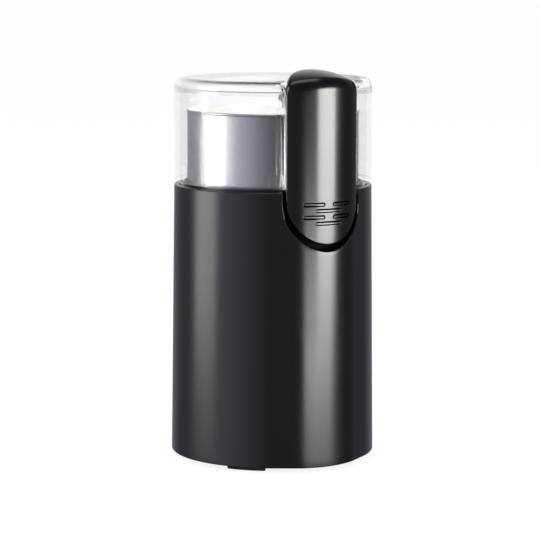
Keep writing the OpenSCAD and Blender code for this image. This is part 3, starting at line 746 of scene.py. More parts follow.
BODY_BLACK = MouldedPlastic("satin_black_plastic", (0.0022, 0.0022, 0.0026), 0.24,
                            0.35, 0.0008, 0.88)
PADDLE_BLACK = GrippedPlastic("paddle_black_plastic", (0.0022, 0.0022, 0.0026), 0.22,
                              0.3, 0.0006, 0.88)
CLEAR = ClearPlastic("clear_lid_plastic", (1.0, 1.0, 1.0), 0.012, 1.42, 0.09, 1.0)
# Painted shade: a near black with little reflection, put on the paddle's pocket and plunger, where
# the gap round the paddle lies in shade.
PAINTED_SHADE_BLACK = MouldedPlastic("painted_shade_black_liner", (0.001, 0.001, 0.001), 0.7, 0.6, 0.002, 0.1)
BOWL_STEEL = SpunSteel("spun_bowl_steel", (0.66, 0.655, 0.65), 0.24, 9.0, 0.0012)
BLADE_STEEL = DrawnMetal("ground_blade_steel", (0.62, 0.62, 0.61), 0.24, (900, 200, 200), 0.006)
SHAFT_STEEL = DrawnMetal("turned_shaft_steel", (0.5, 0.5, 0.5), 0.28)
RUBBER = GrainySolid("black_rubber", (0.012, 0.012, 0.012), 0.7)
GREY_SEAL = GrainySolid("grey_seal_rubber", (0.06, 0.06, 0.062), 0.6)

SLOT_FINISHES: dict[str, Finish] = {
    "black_plastic": BODY_BLACK,
    "paddle_plastic": PADDLE_BLACK,
    "clear_plastic": CLEAR,
    "bowl_steel": BOWL_STEEL,
    "blade_steel": BLADE_STEEL,
    "shaft_steel": SHAFT_STEEL,
    "steel_small": DrawnMetal("zinc_screw_steel", (0.42, 0.42, 0.41), 0.33, (700, 700, 2500)),
    "plated_steel": DrawnMetal("plated_sheet_steel", (0.55, 0.54, 0.5), 0.38, (900, 150, 900)),
    "core_steel": LayeredMetal("stacked_core_steel", (0.3, 0.3, 0.31), 0.45, 0.5, (0, 0, 1), 0.06),
    "spring_steel": DrawnMetal("spring_wire_steel", (0.5, 0.49, 0.47), 0.3, (900, 900, 900)),
    "copper_wire": LayeredMetal("enamelled_copper_wire", (0.55, 0.2, 0.08), 0.3, 0.6,
                                (0.4, 0.3, 1), 0.25, 0.8),
    "copper_bars": DrawnMetal("commutator_copper", (0.68, 0.33, 0.18), 0.25, (300, 300, 5000)),
    "sintered_bronze": GrainySolid("sintered_bronze", (0.42, 0.27, 0.12), 0.45, 0.3, 0.02, 1.0),
    "brass_sheet": DrawnMetal("brass_sheet", (0.66, 0.48, 0.2), 0.3, (900, 200, 900)),
    "carbon": GrainySolid("brush_carbon", (0.03, 0.03, 0.032), 0.5, 0.3, 0.02),
    "black_rubber": RUBBER,
    "grey_seal": GREY_SEAL,
    "cream_plastic": MouldedPlastic("cream_nylon", (0.72, 0.66, 0.5), 0.42, 0.5, 0.004),
    "dark_plastic": MouldedPlastic("dark_moulding", (0.02, 0.022, 0.026), 0.45, 0.5, 0.004),
    "red_plastic": MouldedPlastic("red_button_plastic", (0.4, 0.03, 0.03), 0.35, 0.5, 0.003),
    "wire_pvc": MouldedPlastic("wire_insulation", (0.5, 0.47, 0.42), 0.5, 0.4, 0.004),
}


@dataclass
class Housing:
    """The black body wall: a round body with a smaller round nose, and a notch for the paddle."""

    radius: float = 47.5
    nose_radius: float = 32.1
    nose_y: float = -18.0
    draft: float = 1.5
    bottom: float = 2.0
    top: float = 127.5
    wall: float = 2.4
    notch_half: float = 20.0
    notch_z: float = 120.9
    cord_z: float = 15.0
    cord_hole: float = 5.5
    edge: float = 0.6
    front_columns: int = 60
    round_columns: int = 84
    front_rows: int = 40
    side_rows: int = 4

    def radii(self, z: np.ndarray, inset: float) -> tuple[np.ndarray, np.ndarray]:
        """Work out the body's and the nose's radius at some heights, set in by inset."""
        less = inset + self.draft * (z - self.bottom) / (self.top - self.bottom)
        return self.radius - less, self.nose_radius - less

    @property
    def tangent(self) -> float:
        """Angle from the front at which the flat flanks touch both rounds."""
        return math.acos((self.radius - self.nose_radius) / -self.nose_y)

    def front_y(self, x: np.ndarray, z: np.ndarray, inset: float) -> np.ndarray:
        """Work out how far forward the wall stands at some widths near the nose."""
        body, nose = self.radii(z, inset)
        far, sin, cos = np.abs(x), math.sin(self.tangent), math.cos(self.tangent)
        on_nose = self.nose_y - np.sqrt(np.maximum(nose**2 - far**2, 0))
        on_flank = (far * sin - body) / cos
        return np.where(far <= nose * sin, on_nose, on_flank)

    def stations(self) -> list[tuple[str, float]]:
        """List the columns of the wall round the plan, from the back over the front to the back."""
        turns = np.linspace(math.pi, self.tangent, self.round_columns + 1)[:-1]
        flank = np.linspace(1, 0, 4)[:-1]
        left = [("round", -float(a)) for a in turns] + [("flank", -1 - float(t)) for t in flank]
        across = np.sin(np.linspace(-math.pi / 2, math.pi / 2, self.front_columns + 1))
        front = [("front", float(s) * self.notch_half) for s in across]
        right = [(kind, -value) for kind, value in reversed(left)]
        return left + front + right

    def spot(self, station: tuple[str, float], z: np.ndarray, inset: float) -> np.ndarray:
        """Find the points of one column.

        Args:
            station: The column, from stations.
            z: The heights of its points.
            inset: How far it is set in from the outside.

        Returns:
            The points, a row each.
        """
        kind, value = station
        body, _ = self.radii(z, inset)
        if kind == "round":
            return np.column_stack((body * math.sin(value), -body * math.cos(value), z))
        if kind == "front":
            x = np.full_like(z, value)
            return np.column_stack((x, self.front_y(x, z, inset), z))
        side, share = math.copysign(1, value), abs(value) - 1
        start_x = np.full_like(z, self.notch_half)
        start_y = self.front_y(start_x, z, inset)
        end_x, end_y = body * math.sin(self.tangent), -body * math.cos(self.tangent)
        return np.column_stack((side * (start_x + (end_x - start_x) * share),
                                start_y + (end_y - start_y) * share, z))

    def heights(self, station: tuple[str, float]) -> np.ndarray:
        """List the heights of the points of one column."""
        kind, value = station
        top = self.notch_z
        if kind == "front":
            top -= math.sqrt(max(self.notch_half**2 - value**2, 0))
        share = np.linspace(0, 1, self.front_rows + 1) ** 0.9
        side = np.linspace(self.notch_z, self.top, self.side_rows + 1)[1:]
        return np.concatenate((self.bottom + (top - self.bottom) * share, side))

    def build(self) -> Piece:
        """Roll a sheet round the plan, cut its notch, thicken it and round its rims."""
        stations = self.stations()
        columns, rows = len(stations) - 1, self.front_rows + self.side_rows
        wall = Piece.start("housing_wall", bpy.ops.mesh.primitive_grid_add,
                           x_subdivisions=columns, y_subdivisions=rows, size=MM)
        first = next(i for i, s in enumerate(stations) if s[0] == "front")
        last = first + self.front_columns
        with wall.editing():
            wall.choose(Choose.FACES, lambda middle, _: (
                first < (middle.x + 0.5) * columns < last
                and (middle.y + 0.5) * rows > self.front_rows))
            bpy.ops.mesh.delete(type="FACE")
        flat = wall.points()
        column = np.rint((flat[:, 0] + 0.5) * columns).astype(int)
        row = np.rint((flat[:, 1] + 0.5) * rows).astype(int)
        outside, inside = np.zeros_like(flat), np.zeros_like(flat)
        for index, station in enumerate(stations):
            here = column == index
            z = self.heights(station)[row[here]]
            outside[here] = self.spot(station, z, 0)
            inside[here] = self.spot(station, z, self.wall)
        wall.put(outside)
        wall.close()
        welded = wall.points()
        tree = KDTree(len(outside))
        for index, point in enumerate(outside):
            tree.insert(point, index)
        tree.balance()
        inner = np.array([inside[tree.find(point)[1]] for point in welded])
        wall.modify("SOLIDIFY", thickness=self.wall * MM, offset=-1)
        wall.put(np.vstack((welded, inner)))
        wall.weigh_edges(wall.rims(len(welded)))
        wall.round_edges(self.edge)
        hole = Piece.rod("cord_hole", self.cord_hole, 20, (0, self.radius, self.cord_z),
                         Axis.BACK, 48)
        wall.combine(hole, "DIFFERENCE")
        return wall.smooth(40).dress(BODY_BLACK, "housing", "black_plastic", "body_shell")


@dataclass
class Paddle:
    """The press paddle: a long curved wall with grip slots, under a domed cap."""

    half: float = 18.6
    nose_y: float = -18.0
    radius: float = 30.6
    wall: float = 2.2
    tip_z: float = 122.7
    cap_y: float = -48.0
    cap_radius: float = 19.0
    skirt_z: float = 166.2
    dome_y: float = -30.0
    dome_z: float = 138.9
    dome_radius: float = 43.0
    brow_depth: float = 2.3
    brow_height: float = 5.3
    end_round: float = 3.2
    rear_round: float = 2.2
    slot_z: tuple[float, ...] = (113.5, 116.35, 119.2, 122.05)
    slot_half: float = 0.95
    slot_depth: float = 0.16
    slot_soft: float = 0.46
    edge: float = 0.25
    plain_z: float = 160.0
    pin_y: float = -36.0
    pin_z: float = 170.0

    def slots(self) -> list[tuple[float, float, float]]:
        """List the grip slots as height, left end and right end."""
        found = []
        for row, z in enumerate(self.slot_z):
            spans = [(-6.9, 6.9)] if row % 2 == 0 else [(-12.2, -2.0), (2.0, 12.2)]
            found += [(z, a, b) for a, b in spans]
        return found

    def columns(self) -> np.ndarray:
        """List the widths of the columns, closer together at the ends of the slots."""
        base = list(self.half * np.sin(np.radians(np.linspace(-75, 75, 61))))
        steps = (-0.95, -0.85, -0.7, -0.55, -0.4, -0.2, 0, 0.2, 0.4, 0.55, 0.7, 0.85, 0.95)
        ends = [side * (end + step)
                for side in (-1, 1) for end in (2.0, 6.9, 12.2) for step in steps]
        xs = sorted(base + ends)
        kept = [xs[0]]
        for x in xs[1:]:
            if x - kept[-1] > 0.09:
                kept.append(x)
        return np.array([-self.half, *kept, self.half])

    def rows(self) -> np.ndarray:
        """List the heights of the rows below the plain wall, as they are in the middle."""
        low = [104.1, 105.8, 107.2, 108.6, 110.0, 111.5]
        steps = (-1.15, -0.95, -0.75, -0.55, -0.2, 0.2, 0.55, 0.75, 0.95, 1.15)
        slots = [z + step for z in self.slot_z for step in steps]
        return np.array(low + slots + [124.5])

    def front(self, x: float) -> float:
        """Work out how far forward the wall stands at a width."""
        return self.nose_y - math.sqrt(self.radius**2 - x**2)

    def rear(self, x: float) -> float:
        """Work out where the cap ends at the back."""
        arc = self.cap_y + math.sqrt(max(self.cap_radius**2 - x**2, 0))
        return max(arc, self.front(x) + self.wall + 0.6)

    def dome(self, x: float, y: float) -> float:
        """Work out the height of the cap, dropping off round its two ends."""
        over = max(abs(x) - (self.half - self.end_round), 0)
        drop = self.end_round - math.sqrt(max(self.end_round**2 - over**2, 0))
        reach = self.dome_radius**2 - x**2 - (y - self.dome_y)**2
        return self.dome_z + math.sqrt(reach) - drop

    def low_part(self, x: float, end: bool) -> list[tuple[float, float]]:
        """List width and height of a column's points below the plain wall.

        Args:
            x: The width of the column.
            end: Whether it is the outermost column, which follows the tip's curve.

        Returns:
            Pairs of width and height.
        """
        rows = self.rows()
        curve = self.tip_z - math.sqrt(max(self.half**2 - x**2, 0))
        top = rows[-1]
        if end:
            turn = np.radians(np.linspace(79, 90, 4))
            points = [(math.copysign(self.half * math.sin(a), x),
                       self.tip_z - self.half * math.cos(a)) for a in turn]
            rest = np.linspace(self.tip_z, top, len(rows) - 3)[1:]
            return points + [(x, float(z)) for z in rest]
        share = (rows - rows[0]) / (top - rows[0])
        stretched = curve + share * (top - curve)
        level = rows[5]
        straight = np.where(rows >= level, rows,
                            curve + (rows - rows[0]) / (level - rows[0]) * (level - curve))
        weight = float(smooth_step(np.array((abs(x) - 12.9) / (18.2 - 12.9))))
        return [(x, float(z)) for z in (1 - weight) * straight + weight * stretched]

    def column(self, x: float, end: bool) -> tuple[np.ndarray, np.ndarray]:
        """Find the outer and the inner points of one column, from the tip over the cap.

        Args:
            x: The width of the column.
            end: Whether it is the outermost one.

        Returns:
            The points of the outside and of the inside.
        """
        front, rear = self.front(x), self.rear(x)
        depth = rear - front
        scale = min(1.0, depth / 8)
        brow_y = front + self.brow_depth * scale
        brow_z = self.dome(x, brow_y)
        start_z = brow_z - self.brow_height * scale
        outer = [(px, self.front(px), pz) for px, pz in self.low_part(x, end)]
        outer += [(x, front, float(z)) for z in np.linspace(124.5, start_z, 15)[1:]]
        sweep = 2 * math.atan(self.brow_depth / self.brow_height)
        bend = self.brow_height * scale / math.sin(sweep)
        outer += [(x, front + bend * (1 - math.cos(a)), start_z + bend * math.sin(a))
                  for a in np.linspace(0, sweep, 7)[1:]]
        tail = min(self.rear_round, depth * 0.3)
        ys = np.linspace(brow_y, rear - tail, 13)[1:]
        outer += [(x, float(y), self.dome(x, float(y))) for y in ys]
        foot = self.dome(x, rear - tail)
        for a in np.radians(np.linspace(0, 90, 6)[1:]):
            outer.append((x, rear - tail + tail * math.sin(a), foot - tail * (1 - math.cos(a))))
        outer += [(x, rear, float(z)) for z in np.linspace(foot - tail, self.skirt_z, 4)[1:]]
        points = np.array(outer)
        inner = points.copy()
        room = max(depth - 2 * self.wall, 0.05)
        share = (points[:, 1] - front) / depth
        high = points[:, 2] > self.skirt_z
        inner[:, 1] = np.where(points[:, 1] - front < 1e-6, points[:, 1] + self.wall,
                               front + self.wall + share * room)
        inner[~high, 1] = points[~high, 1] + self.wall
        inner[-1, 1] = front + self.wall + room
        lift = float(smooth_step(np.array(room / 4)))
        roof = self.skirt_z + (points[:, 2] - self.wall - self.skirt_z) * lift
        below = np.maximum(np.minimum(roof, points[:, 2]), self.skirt_z)
        inner[:, 2] = np.where(high, below, points[:, 2])
        return points, inner

    def sink_slots(self, paddle: Piece) -> None:
        """Press the grip slots into the front of the wall."""
        points = paddle.points()
        reach = np.hypot(points[:, 0], points[:, 1] - self.nose_y)
        outside = (np.abs(reach - self.radius) < 0.02) & (points[:, 2] < 125)
        depth = np.zeros(len(points))
        for z, left, right in self.slots():
            inner_left, inner_right = left + self.slot_half, right - self.slot_half
            nearest = np.clip(points[:, 0], inner_left, inner_right)
            away = np.hypot(points[:, 0] - nearest, points[:, 2] - z) - self.slot_half
            depth = np.maximum(depth, np.clip(-away / self.slot_soft, 0, 1) * self.slot_depth)
        depth = np.where(outside, depth, 0)
        scale = (reach - depth) / reach
        points[:, 0] *= scale
        points[:, 1] = self.nose_y + (points[:, 1] - self.nose_y) * scale
        paddle.put(points)

    def build(self) -> None:
        """Drape the wall and the cap in one sheet, thicken it, round it and press the slots."""
        xs = self.columns()
        made = [self.column(float(x), index in (0, len(xs) - 1)) for index, x in enumerate(xs)]
        count = len(made[0][0])
        paddle = Piece.start("press_paddle", bpy.ops.mesh.primitive_grid_add,
                             x_subdivisions=len(xs) - 1, y_subdivisions=count - 1, size=MM)
        flat = paddle.points()
        column = np.rint((flat[:, 0] + 0.5) * (len(xs) - 1)).astype(int)
        row = np.rint((flat[:, 1] + 0.5) * (count - 1)).astype(int)
        outside = np.array([made[c][0][r] for c, r in zip(column, row)])
        inside = np.array([made[c][1][r] for c, r in zip(column, row)])
        paddle.put(outside)
        with paddle.editing():
            bpy.ops.mesh.select_all(action="SELECT")
            bpy.ops.mesh.normals_make_consistent(inside=False)
        paddle.modify("SOLIDIFY", thickness=self.wall * MM, offset=-1)
        both = np.vstack((outside, inside))
        paddle.put(both)
        paddle.weigh_edges({pair for pair in paddle.rims(len(flat))
                            if pair[0] < len(flat) or both[list(pair), 2].max() < self.plain_z})
        paddle.round_edges(self.edge)
        self.sink_slots(paddle)
        paddle.smooth(38).dress(PADDLE_BLACK, "press_paddle", "paddle_plastic", "paddle")
        for name, x in (("paddle_eye_left", -11.6), ("paddle_eye_right", 11.6)):
            ring = rounded([(1.6, -2, 0.2), (3.4, -2, 0.3), (3.4, 2, 0.3), (1.6, 2, 0.2)], 3)
            eye = Piece.turned(name, ring, (x, self.pin_y, self.pin_z), Axis.RIGHT, 48)
            lens = Piece.rod("lens", self.cap_radius - 1.2, 30, (0, self.cap_y, self.pin_z),
                             sides=128)
            eye.combine(lens, "INTERSECT").smooth(35)
            eye.dress(PADDLE_BLACK, "press_paddle", "paddle_plastic")


@dataclass
class Lid:
    """The clear lid: a cup with a raised front, and a channel and a recess for the paddle."""

    radius: float = 45.8
    wall: float = 2.4
    bottom: float = 129.0
    top: float = 176.9
    ceiling: float = 172.8
    shoulder: float = 4.2
    dish_radius: float = 38.0
    dish_depth: float = 1.8
    fairing_y: float = -30.0
    fairing_z: float = 120.3
    fairing_radius: float = 60.0
    fairing_wall: float = 2.8
    channel_half: float = 19.0
    channel_side: float = 1.3
    channel_radius: float = 42.4
    bowl_room: float = 40.9
    recess_y: float = -48.0
    recess_radius: float = 20.2
    recess_z: float = 165.4
    recess_floor: float = 1.6
    pin_y: float = -36.0
    pin_z: float = 170.0
    rib_turns: tuple[float, ...] = (-120, -60, 45, 135)
    steps: int = 192

    def cap(self, name: str, radius: float, across: float) -> Piece:
        """Turn the cap of a sphere that makes the raised front, above the ceiling.

        Args:
            name: Name of the piece.
            radius: Radius of the sphere.
            across: How far it may reach from the lid's own axis.

        Returns:
            The closed cap.
        """
        low = self.ceiling - 0.01 - self.fairing_z
        arc = np.linspace(math.acos(low / radius), 0, 40)
        outline = [(0.0, self.ceiling - 0.01)]
        outline += [(radius * math.sin(a), self.fairing_z + radius * math.cos(a)) for a in arc]
        cap = Piece.turned(name, outline, (0, self.fairing_y, 0), steps=self.steps)
        bound = Piece.rod("bound", across, 40, (0, 0, self.ceiling + 15), sides=self.steps)
        return cap.combine(bound, "INTERSECT")

    def envelope(self) -> Piece:
        """Turn the outside of the lid as one solid."""
        outline = rounded([
            (0, self.bottom, 0),
            (self.radius, self.bottom, 0.5),
            (self.radius, self.top, self.shoulder),
            (self.dish_radius + 3, self.top, 2.4),
            (self.dish_radius - 6, self.top - self.dish_depth, 14.0),
            (0, self.top - self.dish_depth - 0.1, 0),
        ], 10)
        outside = Piece.turned("lid_outside", outline, steps=self.steps)
        return outside.combine(self.cap("fairing", self.fairing_radius, self.radius - 2.6), "UNION")

    def hollow(self) -> Piece:
        """Turn the room inside the lid as one solid."""
        across = self.radius - self.wall
        outline = rounded([(0, self.bottom - 1, 0), (across, self.bottom - 1, 0),
                           (across, self.ceiling, 0.9), (0, self.ceiling, 0)])
        room = Piece.turned("lid_room", outline, steps=self.steps)
        inner = self.fairing_radius - self.fairing_wall
        return room.combine(self.cap("fairing_room", inner, across - 2.6), "UNION")

    def block(self) -> Piece:
        """Build the walls of the channel and of the recess as a solid block."""
        side = self.channel_half + self.channel_side
        floor = self.recess_z - self.recess_floor
        block = Piece.block("channel_block", (-side, -60, self.bottom), (side, 0, self.recess_z))
        bowl = Piece.rod("bowl_space", self.bowl_room, 120, (0, 0, 150), sides=self.steps)
        block.combine(bowl, "DIFFERENCE")
        disc = Piece.rod("recess_disc", self.recess_radius + self.channel_side, 30,
                         (0, self.recess_y, floor + 15), sides=self.steps)
        block.combine(disc, "UNION")
        for x in (-16.7, 16.7):
            seat = Piece.rod("pin_seat", 3.4, 3.4, (x, self.pin_y, self.pin_z), Axis.RIGHT, 48)
            block.combine(seat, "UNION")
        return block

    def build(self) -> None:
        """Hollow the cup, set the channel in and cut the ways for the bowl and the paddle."""
        floor = self.recess_z - self.recess_floor
        outside = self.envelope()
        block = self.block().combine(outside, "INTERSECT", keep=True)
        lid = outside.combine(self.hollow(), "DIFFERENCE").combine(block, "UNION")
        rib = Piece.block("rib", (41.0, -2.5, 128.0), (43.9, 2.5, 135.0))
        rib.combine(Piece.rod("rib_step", 42.1, 4, (0, 0, 127.3), sides=96), "DIFFERENCE")
        for degrees in self.rib_turns:
            lid.combine(rib.copy("lid_rib", degrees), "UNION")
        bpy.data.objects.remove(rib.obj)
        bowl = Piece.rod("bowl_way", self.bowl_room, floor - 125, (0, 0, (floor + 125) / 2),
                         sides=self.steps)
        lid.combine(bowl, "DIFFERENCE")
        way = Piece.block("paddle_way", (-self.channel_half, -80, 100), (self.channel_half, 0, 200))
        back = Piece.rod("way_back", self.channel_radius, 120, (0, 0, 150), sides=self.steps)
        lid.combine(way.combine(back, "DIFFERENCE"), "DIFFERENCE")
        recess = Piece.rod("recess", self.recess_radius, 40, (0, self.recess_y, self.recess_z + 20),
                           sides=self.steps)
        lid.combine(recess, "DIFFERENCE")
        hole = Piece.rod("pin_hole", 1.6, 37.4, (0, self.pin_y, self.pin_z), Axis.RIGHT, 32)
        lid.combine(hole, "DIFFERENCE")
        lid.obj.name = "clear_lid"
        lid.close()
        lid.smooth(30, weighted=False).dress(CLEAR, "lid", "clear_plastic", "lid_shell")


@dataclass
class Bowl:
    """The spun steel grinding bowl with its rolled lip."""

    radius: float = 39.85
    wall: float = 0.8
    floor: float = 116.5
    top: float = 162.3
    corner: float = 7.0
    lip: float = 0.7
    hub_hole: float = 5.0

    def build(self) -> None:
        """Spin the wall, the corner and the floor in one, with the lip rolled outwards."""
        middle = self.radius - self.lip / 2
        lip = [(middle + self.lip * math.cos(a), self.top - self.lip + self.lip * math.sin(a))
               for a in np.radians(np.linspace(-70, 180, 14))]
        inner = self.radius - self.wall
        outline = [(inner, self.top - self.lip)] + rounded([
            (inner, self.floor + self.wall, self.corner - self.wall),
            (self.hub_hole, self.floor + self.wall, 0.3),
            (self.hub_hole, self.floor, 0.3),
            (self.radius, self.floor, self.corner),
            (self.radius, self.top - 1.8, 0),
        ], 10) + lip[:-1]
        bowl = Piece.turned("grinding_bowl", outline, steps=192)
        bowl.smooth(50, weighted=False).dress(BOWL_STEEL, "housing", "bowl_steel", "steel_bowl")


@dataclass
class Deck:
    """The black deck that closes the body round the bowl, with its collar inside the lid."""

    housing: Housing
    low: float = 124.9
    collar_radius: float = 41.8
    collar_top: float = 129.0
    bore: float = 40.5
    pocket_radius: float = 42.2
    fit: float = 0.3

    def build(self) -> None:
        """Draw the plate out of its plan, turn the collar, and cut both for the paddle."""
        stations = self.housing.stations()[:-1]
        z = np.array([self.housing.top])
        inset = self.housing.wall + self.fit
        plan = [self.housing.spot(s, z, inset)[0] for s in stations]
        plate = Piece.start("deck_plate", bpy.ops.mesh.primitive_circle_add,
                            vertices=len(plan), radius=MM)
        plate.put(np.array([(p[0], p[1], self.low) for p in plan]))
        with plate.editing():
            bpy.ops.mesh.select_all(action="SELECT")
            bpy.ops.mesh.edge_face_add()
            rise = (self.housing.top - self.low) * MM
            bpy.ops.mesh.extrude_region_move(TRANSFORM_OT_translate={"value": (0, 0, rise)})
        plate.close()
        bore = Piece.rod("bore", self.collar_radius - 0.6, 20, (0, 0, self.low), sides=192)
        plate.combine(bore, "DIFFERENCE")
        ring = rounded([
            (self.bore, self.low, 0.3), (self.collar_radius, self.low, 0.3),
            (self.collar_radius, self.collar_top, 0.35), (self.bore, self.collar_top, 0.35),
        ], 4)
        collar = Piece.turned("deck_collar", ring, steps=192)
        half = self.housing.notch_half
        for piece in (plate, collar):
            notch = Piece.block("notch", (-half, -80, 100), (half, 0, 150))
            pocket = Piece.rod("pocket", self.pocket_radius, 80, (0, 0, 125), sides=192)
            piece.combine(notch.combine(pocket, "DIFFERENCE"), "DIFFERENCE").smooth(35)
        plate.dress(BODY_BLACK, "housing", "black_plastic", "deck_ring")
        collar.dress(BODY_BLACK, "housing", "black_plastic")


@dataclass
class Feet:
    """Three arc-shaped rubber feet under the base."""

    inner: float = 36.9
    outer: float = 43.9
    height: float = 2.8
    span: float = 24.0
    turns: tuple[float, ...] = (-137.5, -17.5, 102.5)

    def build(self) -> None:
        """Spin a section through the foot's angle, round it off, and copy it round the base."""
        middle = (self.inner + self.outer) / 2
        foot = Piece.start("foot_1", bpy.ops.mesh.primitive_plane_add, (middle, 0, self.height / 2),
                           (90, 0, 0), size=MM)
        width, half = self.outer - self.inner, self.height / 2
        with foot.editing():
            bpy.ops.mesh.select_all(action="SELECT")
            bpy.ops.transform.resize(value=(width, 1, self.height),
                                     center_override=(middle * MM, 0, half * MM))
            bpy.ops.mesh.spin(steps=14, angle=math.radians(self.span),
                              center=(0, 0, 0), axis=(0, 0, 1))
        foot.close()
        foot.round_edges(0.5, 3, 50).smooth(35)
        start = math.degrees(math.atan2(foot.points()[:, 1].mean(), foot.points()[:, 0].mean()))
        for index, turn in enumerate(self.turns):
            twin = foot.copy(f"rubber_foot_{index + 1}", turn - start)
            nodes = ("rubber_feet",) if index == 0 else ()
            twin.dress(RUBBER, "housing", "black_rubber", *nodes)
        bpy.data.objects.remove(foot.obj)


@dataclass
class CordInlet:
    """The rubber bush at the back through which the supply cord would leave."""

    height: float = 15.0
    inner: float = 41.95
    outer: float = 50.1
    neck: float = 5.4
    flange: float = 7.3
    bore: float = 3.1

    def build(self) -> None:
        """Turn the bush with its two flanges and its bore, and lay it along the back."""
        outline = rounded([
            (self.bore, self.inner, 0.4), (self.flange, self.inner, 0.5),
            (self.flange, self.inner + 2, 0.3), (self.neck, self.inner + 2, 0.2),
            (self.neck, self.outer - 2, 0.2), (self.flange, self.outer - 2, 0.4),
            (self.flange, self.outer, 0.9), (self.bore, self.outer, 0.5),
        ], 4)
        bush = Piece.turned("cord_bush", outline, (0, 0, self.height), Axis.BACK, 72)
        bush.smooth(40).dress(RUBBER, "housing", "black_rubber", "cord_gland")


@dataclass
class Cutter:
    """The blade on its hub under a cap nut."""

    blade_z: float = 122.5
    blade_wall: float = 1.2
    blade_width: float = 11.0
    flat_half: float = 19.0
    tip: float = 12.0
    tip_turn: float = 14.0

    def build_blade(self) -> None:
        """Draw the flat bar out to both sides, turn its tips up and hone its edges."""
        half = self.blade_width / 2
        top = self.blade_z + self.blade_wall
        blade = Piece.block("cutting_blade", (-self.flat_half, -half, self.blade_z),
                            (self.flat_half, half, top))
        turn = math.radians(self.tip_turn)
        out, up = self.tip * math.cos(turn), self.tip * math.sin(turn)
        for side in (-1, 1):
            with blade.editing():
                blade.choose(Choose.FACES, lambda middle, way, s=side: way.x * s > 0.9)
                bpy.ops.mesh.extrude_region_move(
                    TRANSFORM_OT_translate={"value": (side * out * MM, 0, up * MM)})
                blade.choose(Choose.POINTS, lambda place, way, s=side: (
                    place.x * s > self.flat_half + 1 and place.y * s > 0))
                bpy.ops.transform.translate(value=(-side * 4.6 * MM, 0, -1.15 * MM))
        blade.round_edges(0.35, 2, 40).smooth(30)
        blade.dress(BLADE_STEEL, "rotor", "blade_steel", "blade")

    def build_nut(self) -> None:
        """Draw a hexagon up to a nut, chamfer it and raise its crown."""
        low = self.blade_z + self.blade_wall
        nut = Piece.start("blade_cap_nut", bpy.ops.mesh.primitive_circle_add, (0, 0, low),
                          vertices=6, radius=4.6 * MM, fill_type="NGON")
        with nut.editing():
            bpy.ops.mesh.select_all(action="SELECT")
            bpy.ops.mesh.extrude_region_move(TRANSFORM_OT_translate={"value": (0, 0, 3.6 * MM)})
            nut.choose(Choose.FACES, lambda middle, way: middle.z > low + 3)
            bpy.ops.mesh.inset(thickness=1.1 * MM)
            bpy.ops.mesh.extrude_region_move(TRANSFORM_OT_translate={"value": (0, 0, 0.6 * MM)})
        nut.close()
        nut.round_edges(0.3, 3, 30).smooth(35)
        nut.dress(SHAFT_STEEL, "rotor", "shaft_steel", "blade_nut")

    def build_hub(self) -> None:
        """Turn the hub that carries the blade."""
        ring = rounded([(3.0, 119.1, 0.1), (5.5, 119.1, 0.4),
                        (5.5, 122.5, 0.3), (3.0, 122.5, 0.1)], 3)
        hub = Piece.turned("cutter_hub", ring, steps=72)
        hub.smooth(35).dress(SHAFT_STEEL, "rotor", "shaft_steel", "blade_hub")

    def build(self) -> None:
        """Build the blade, its nut and its hub."""
        self.build_hub()
        self.build_blade()
        self.build_nut()


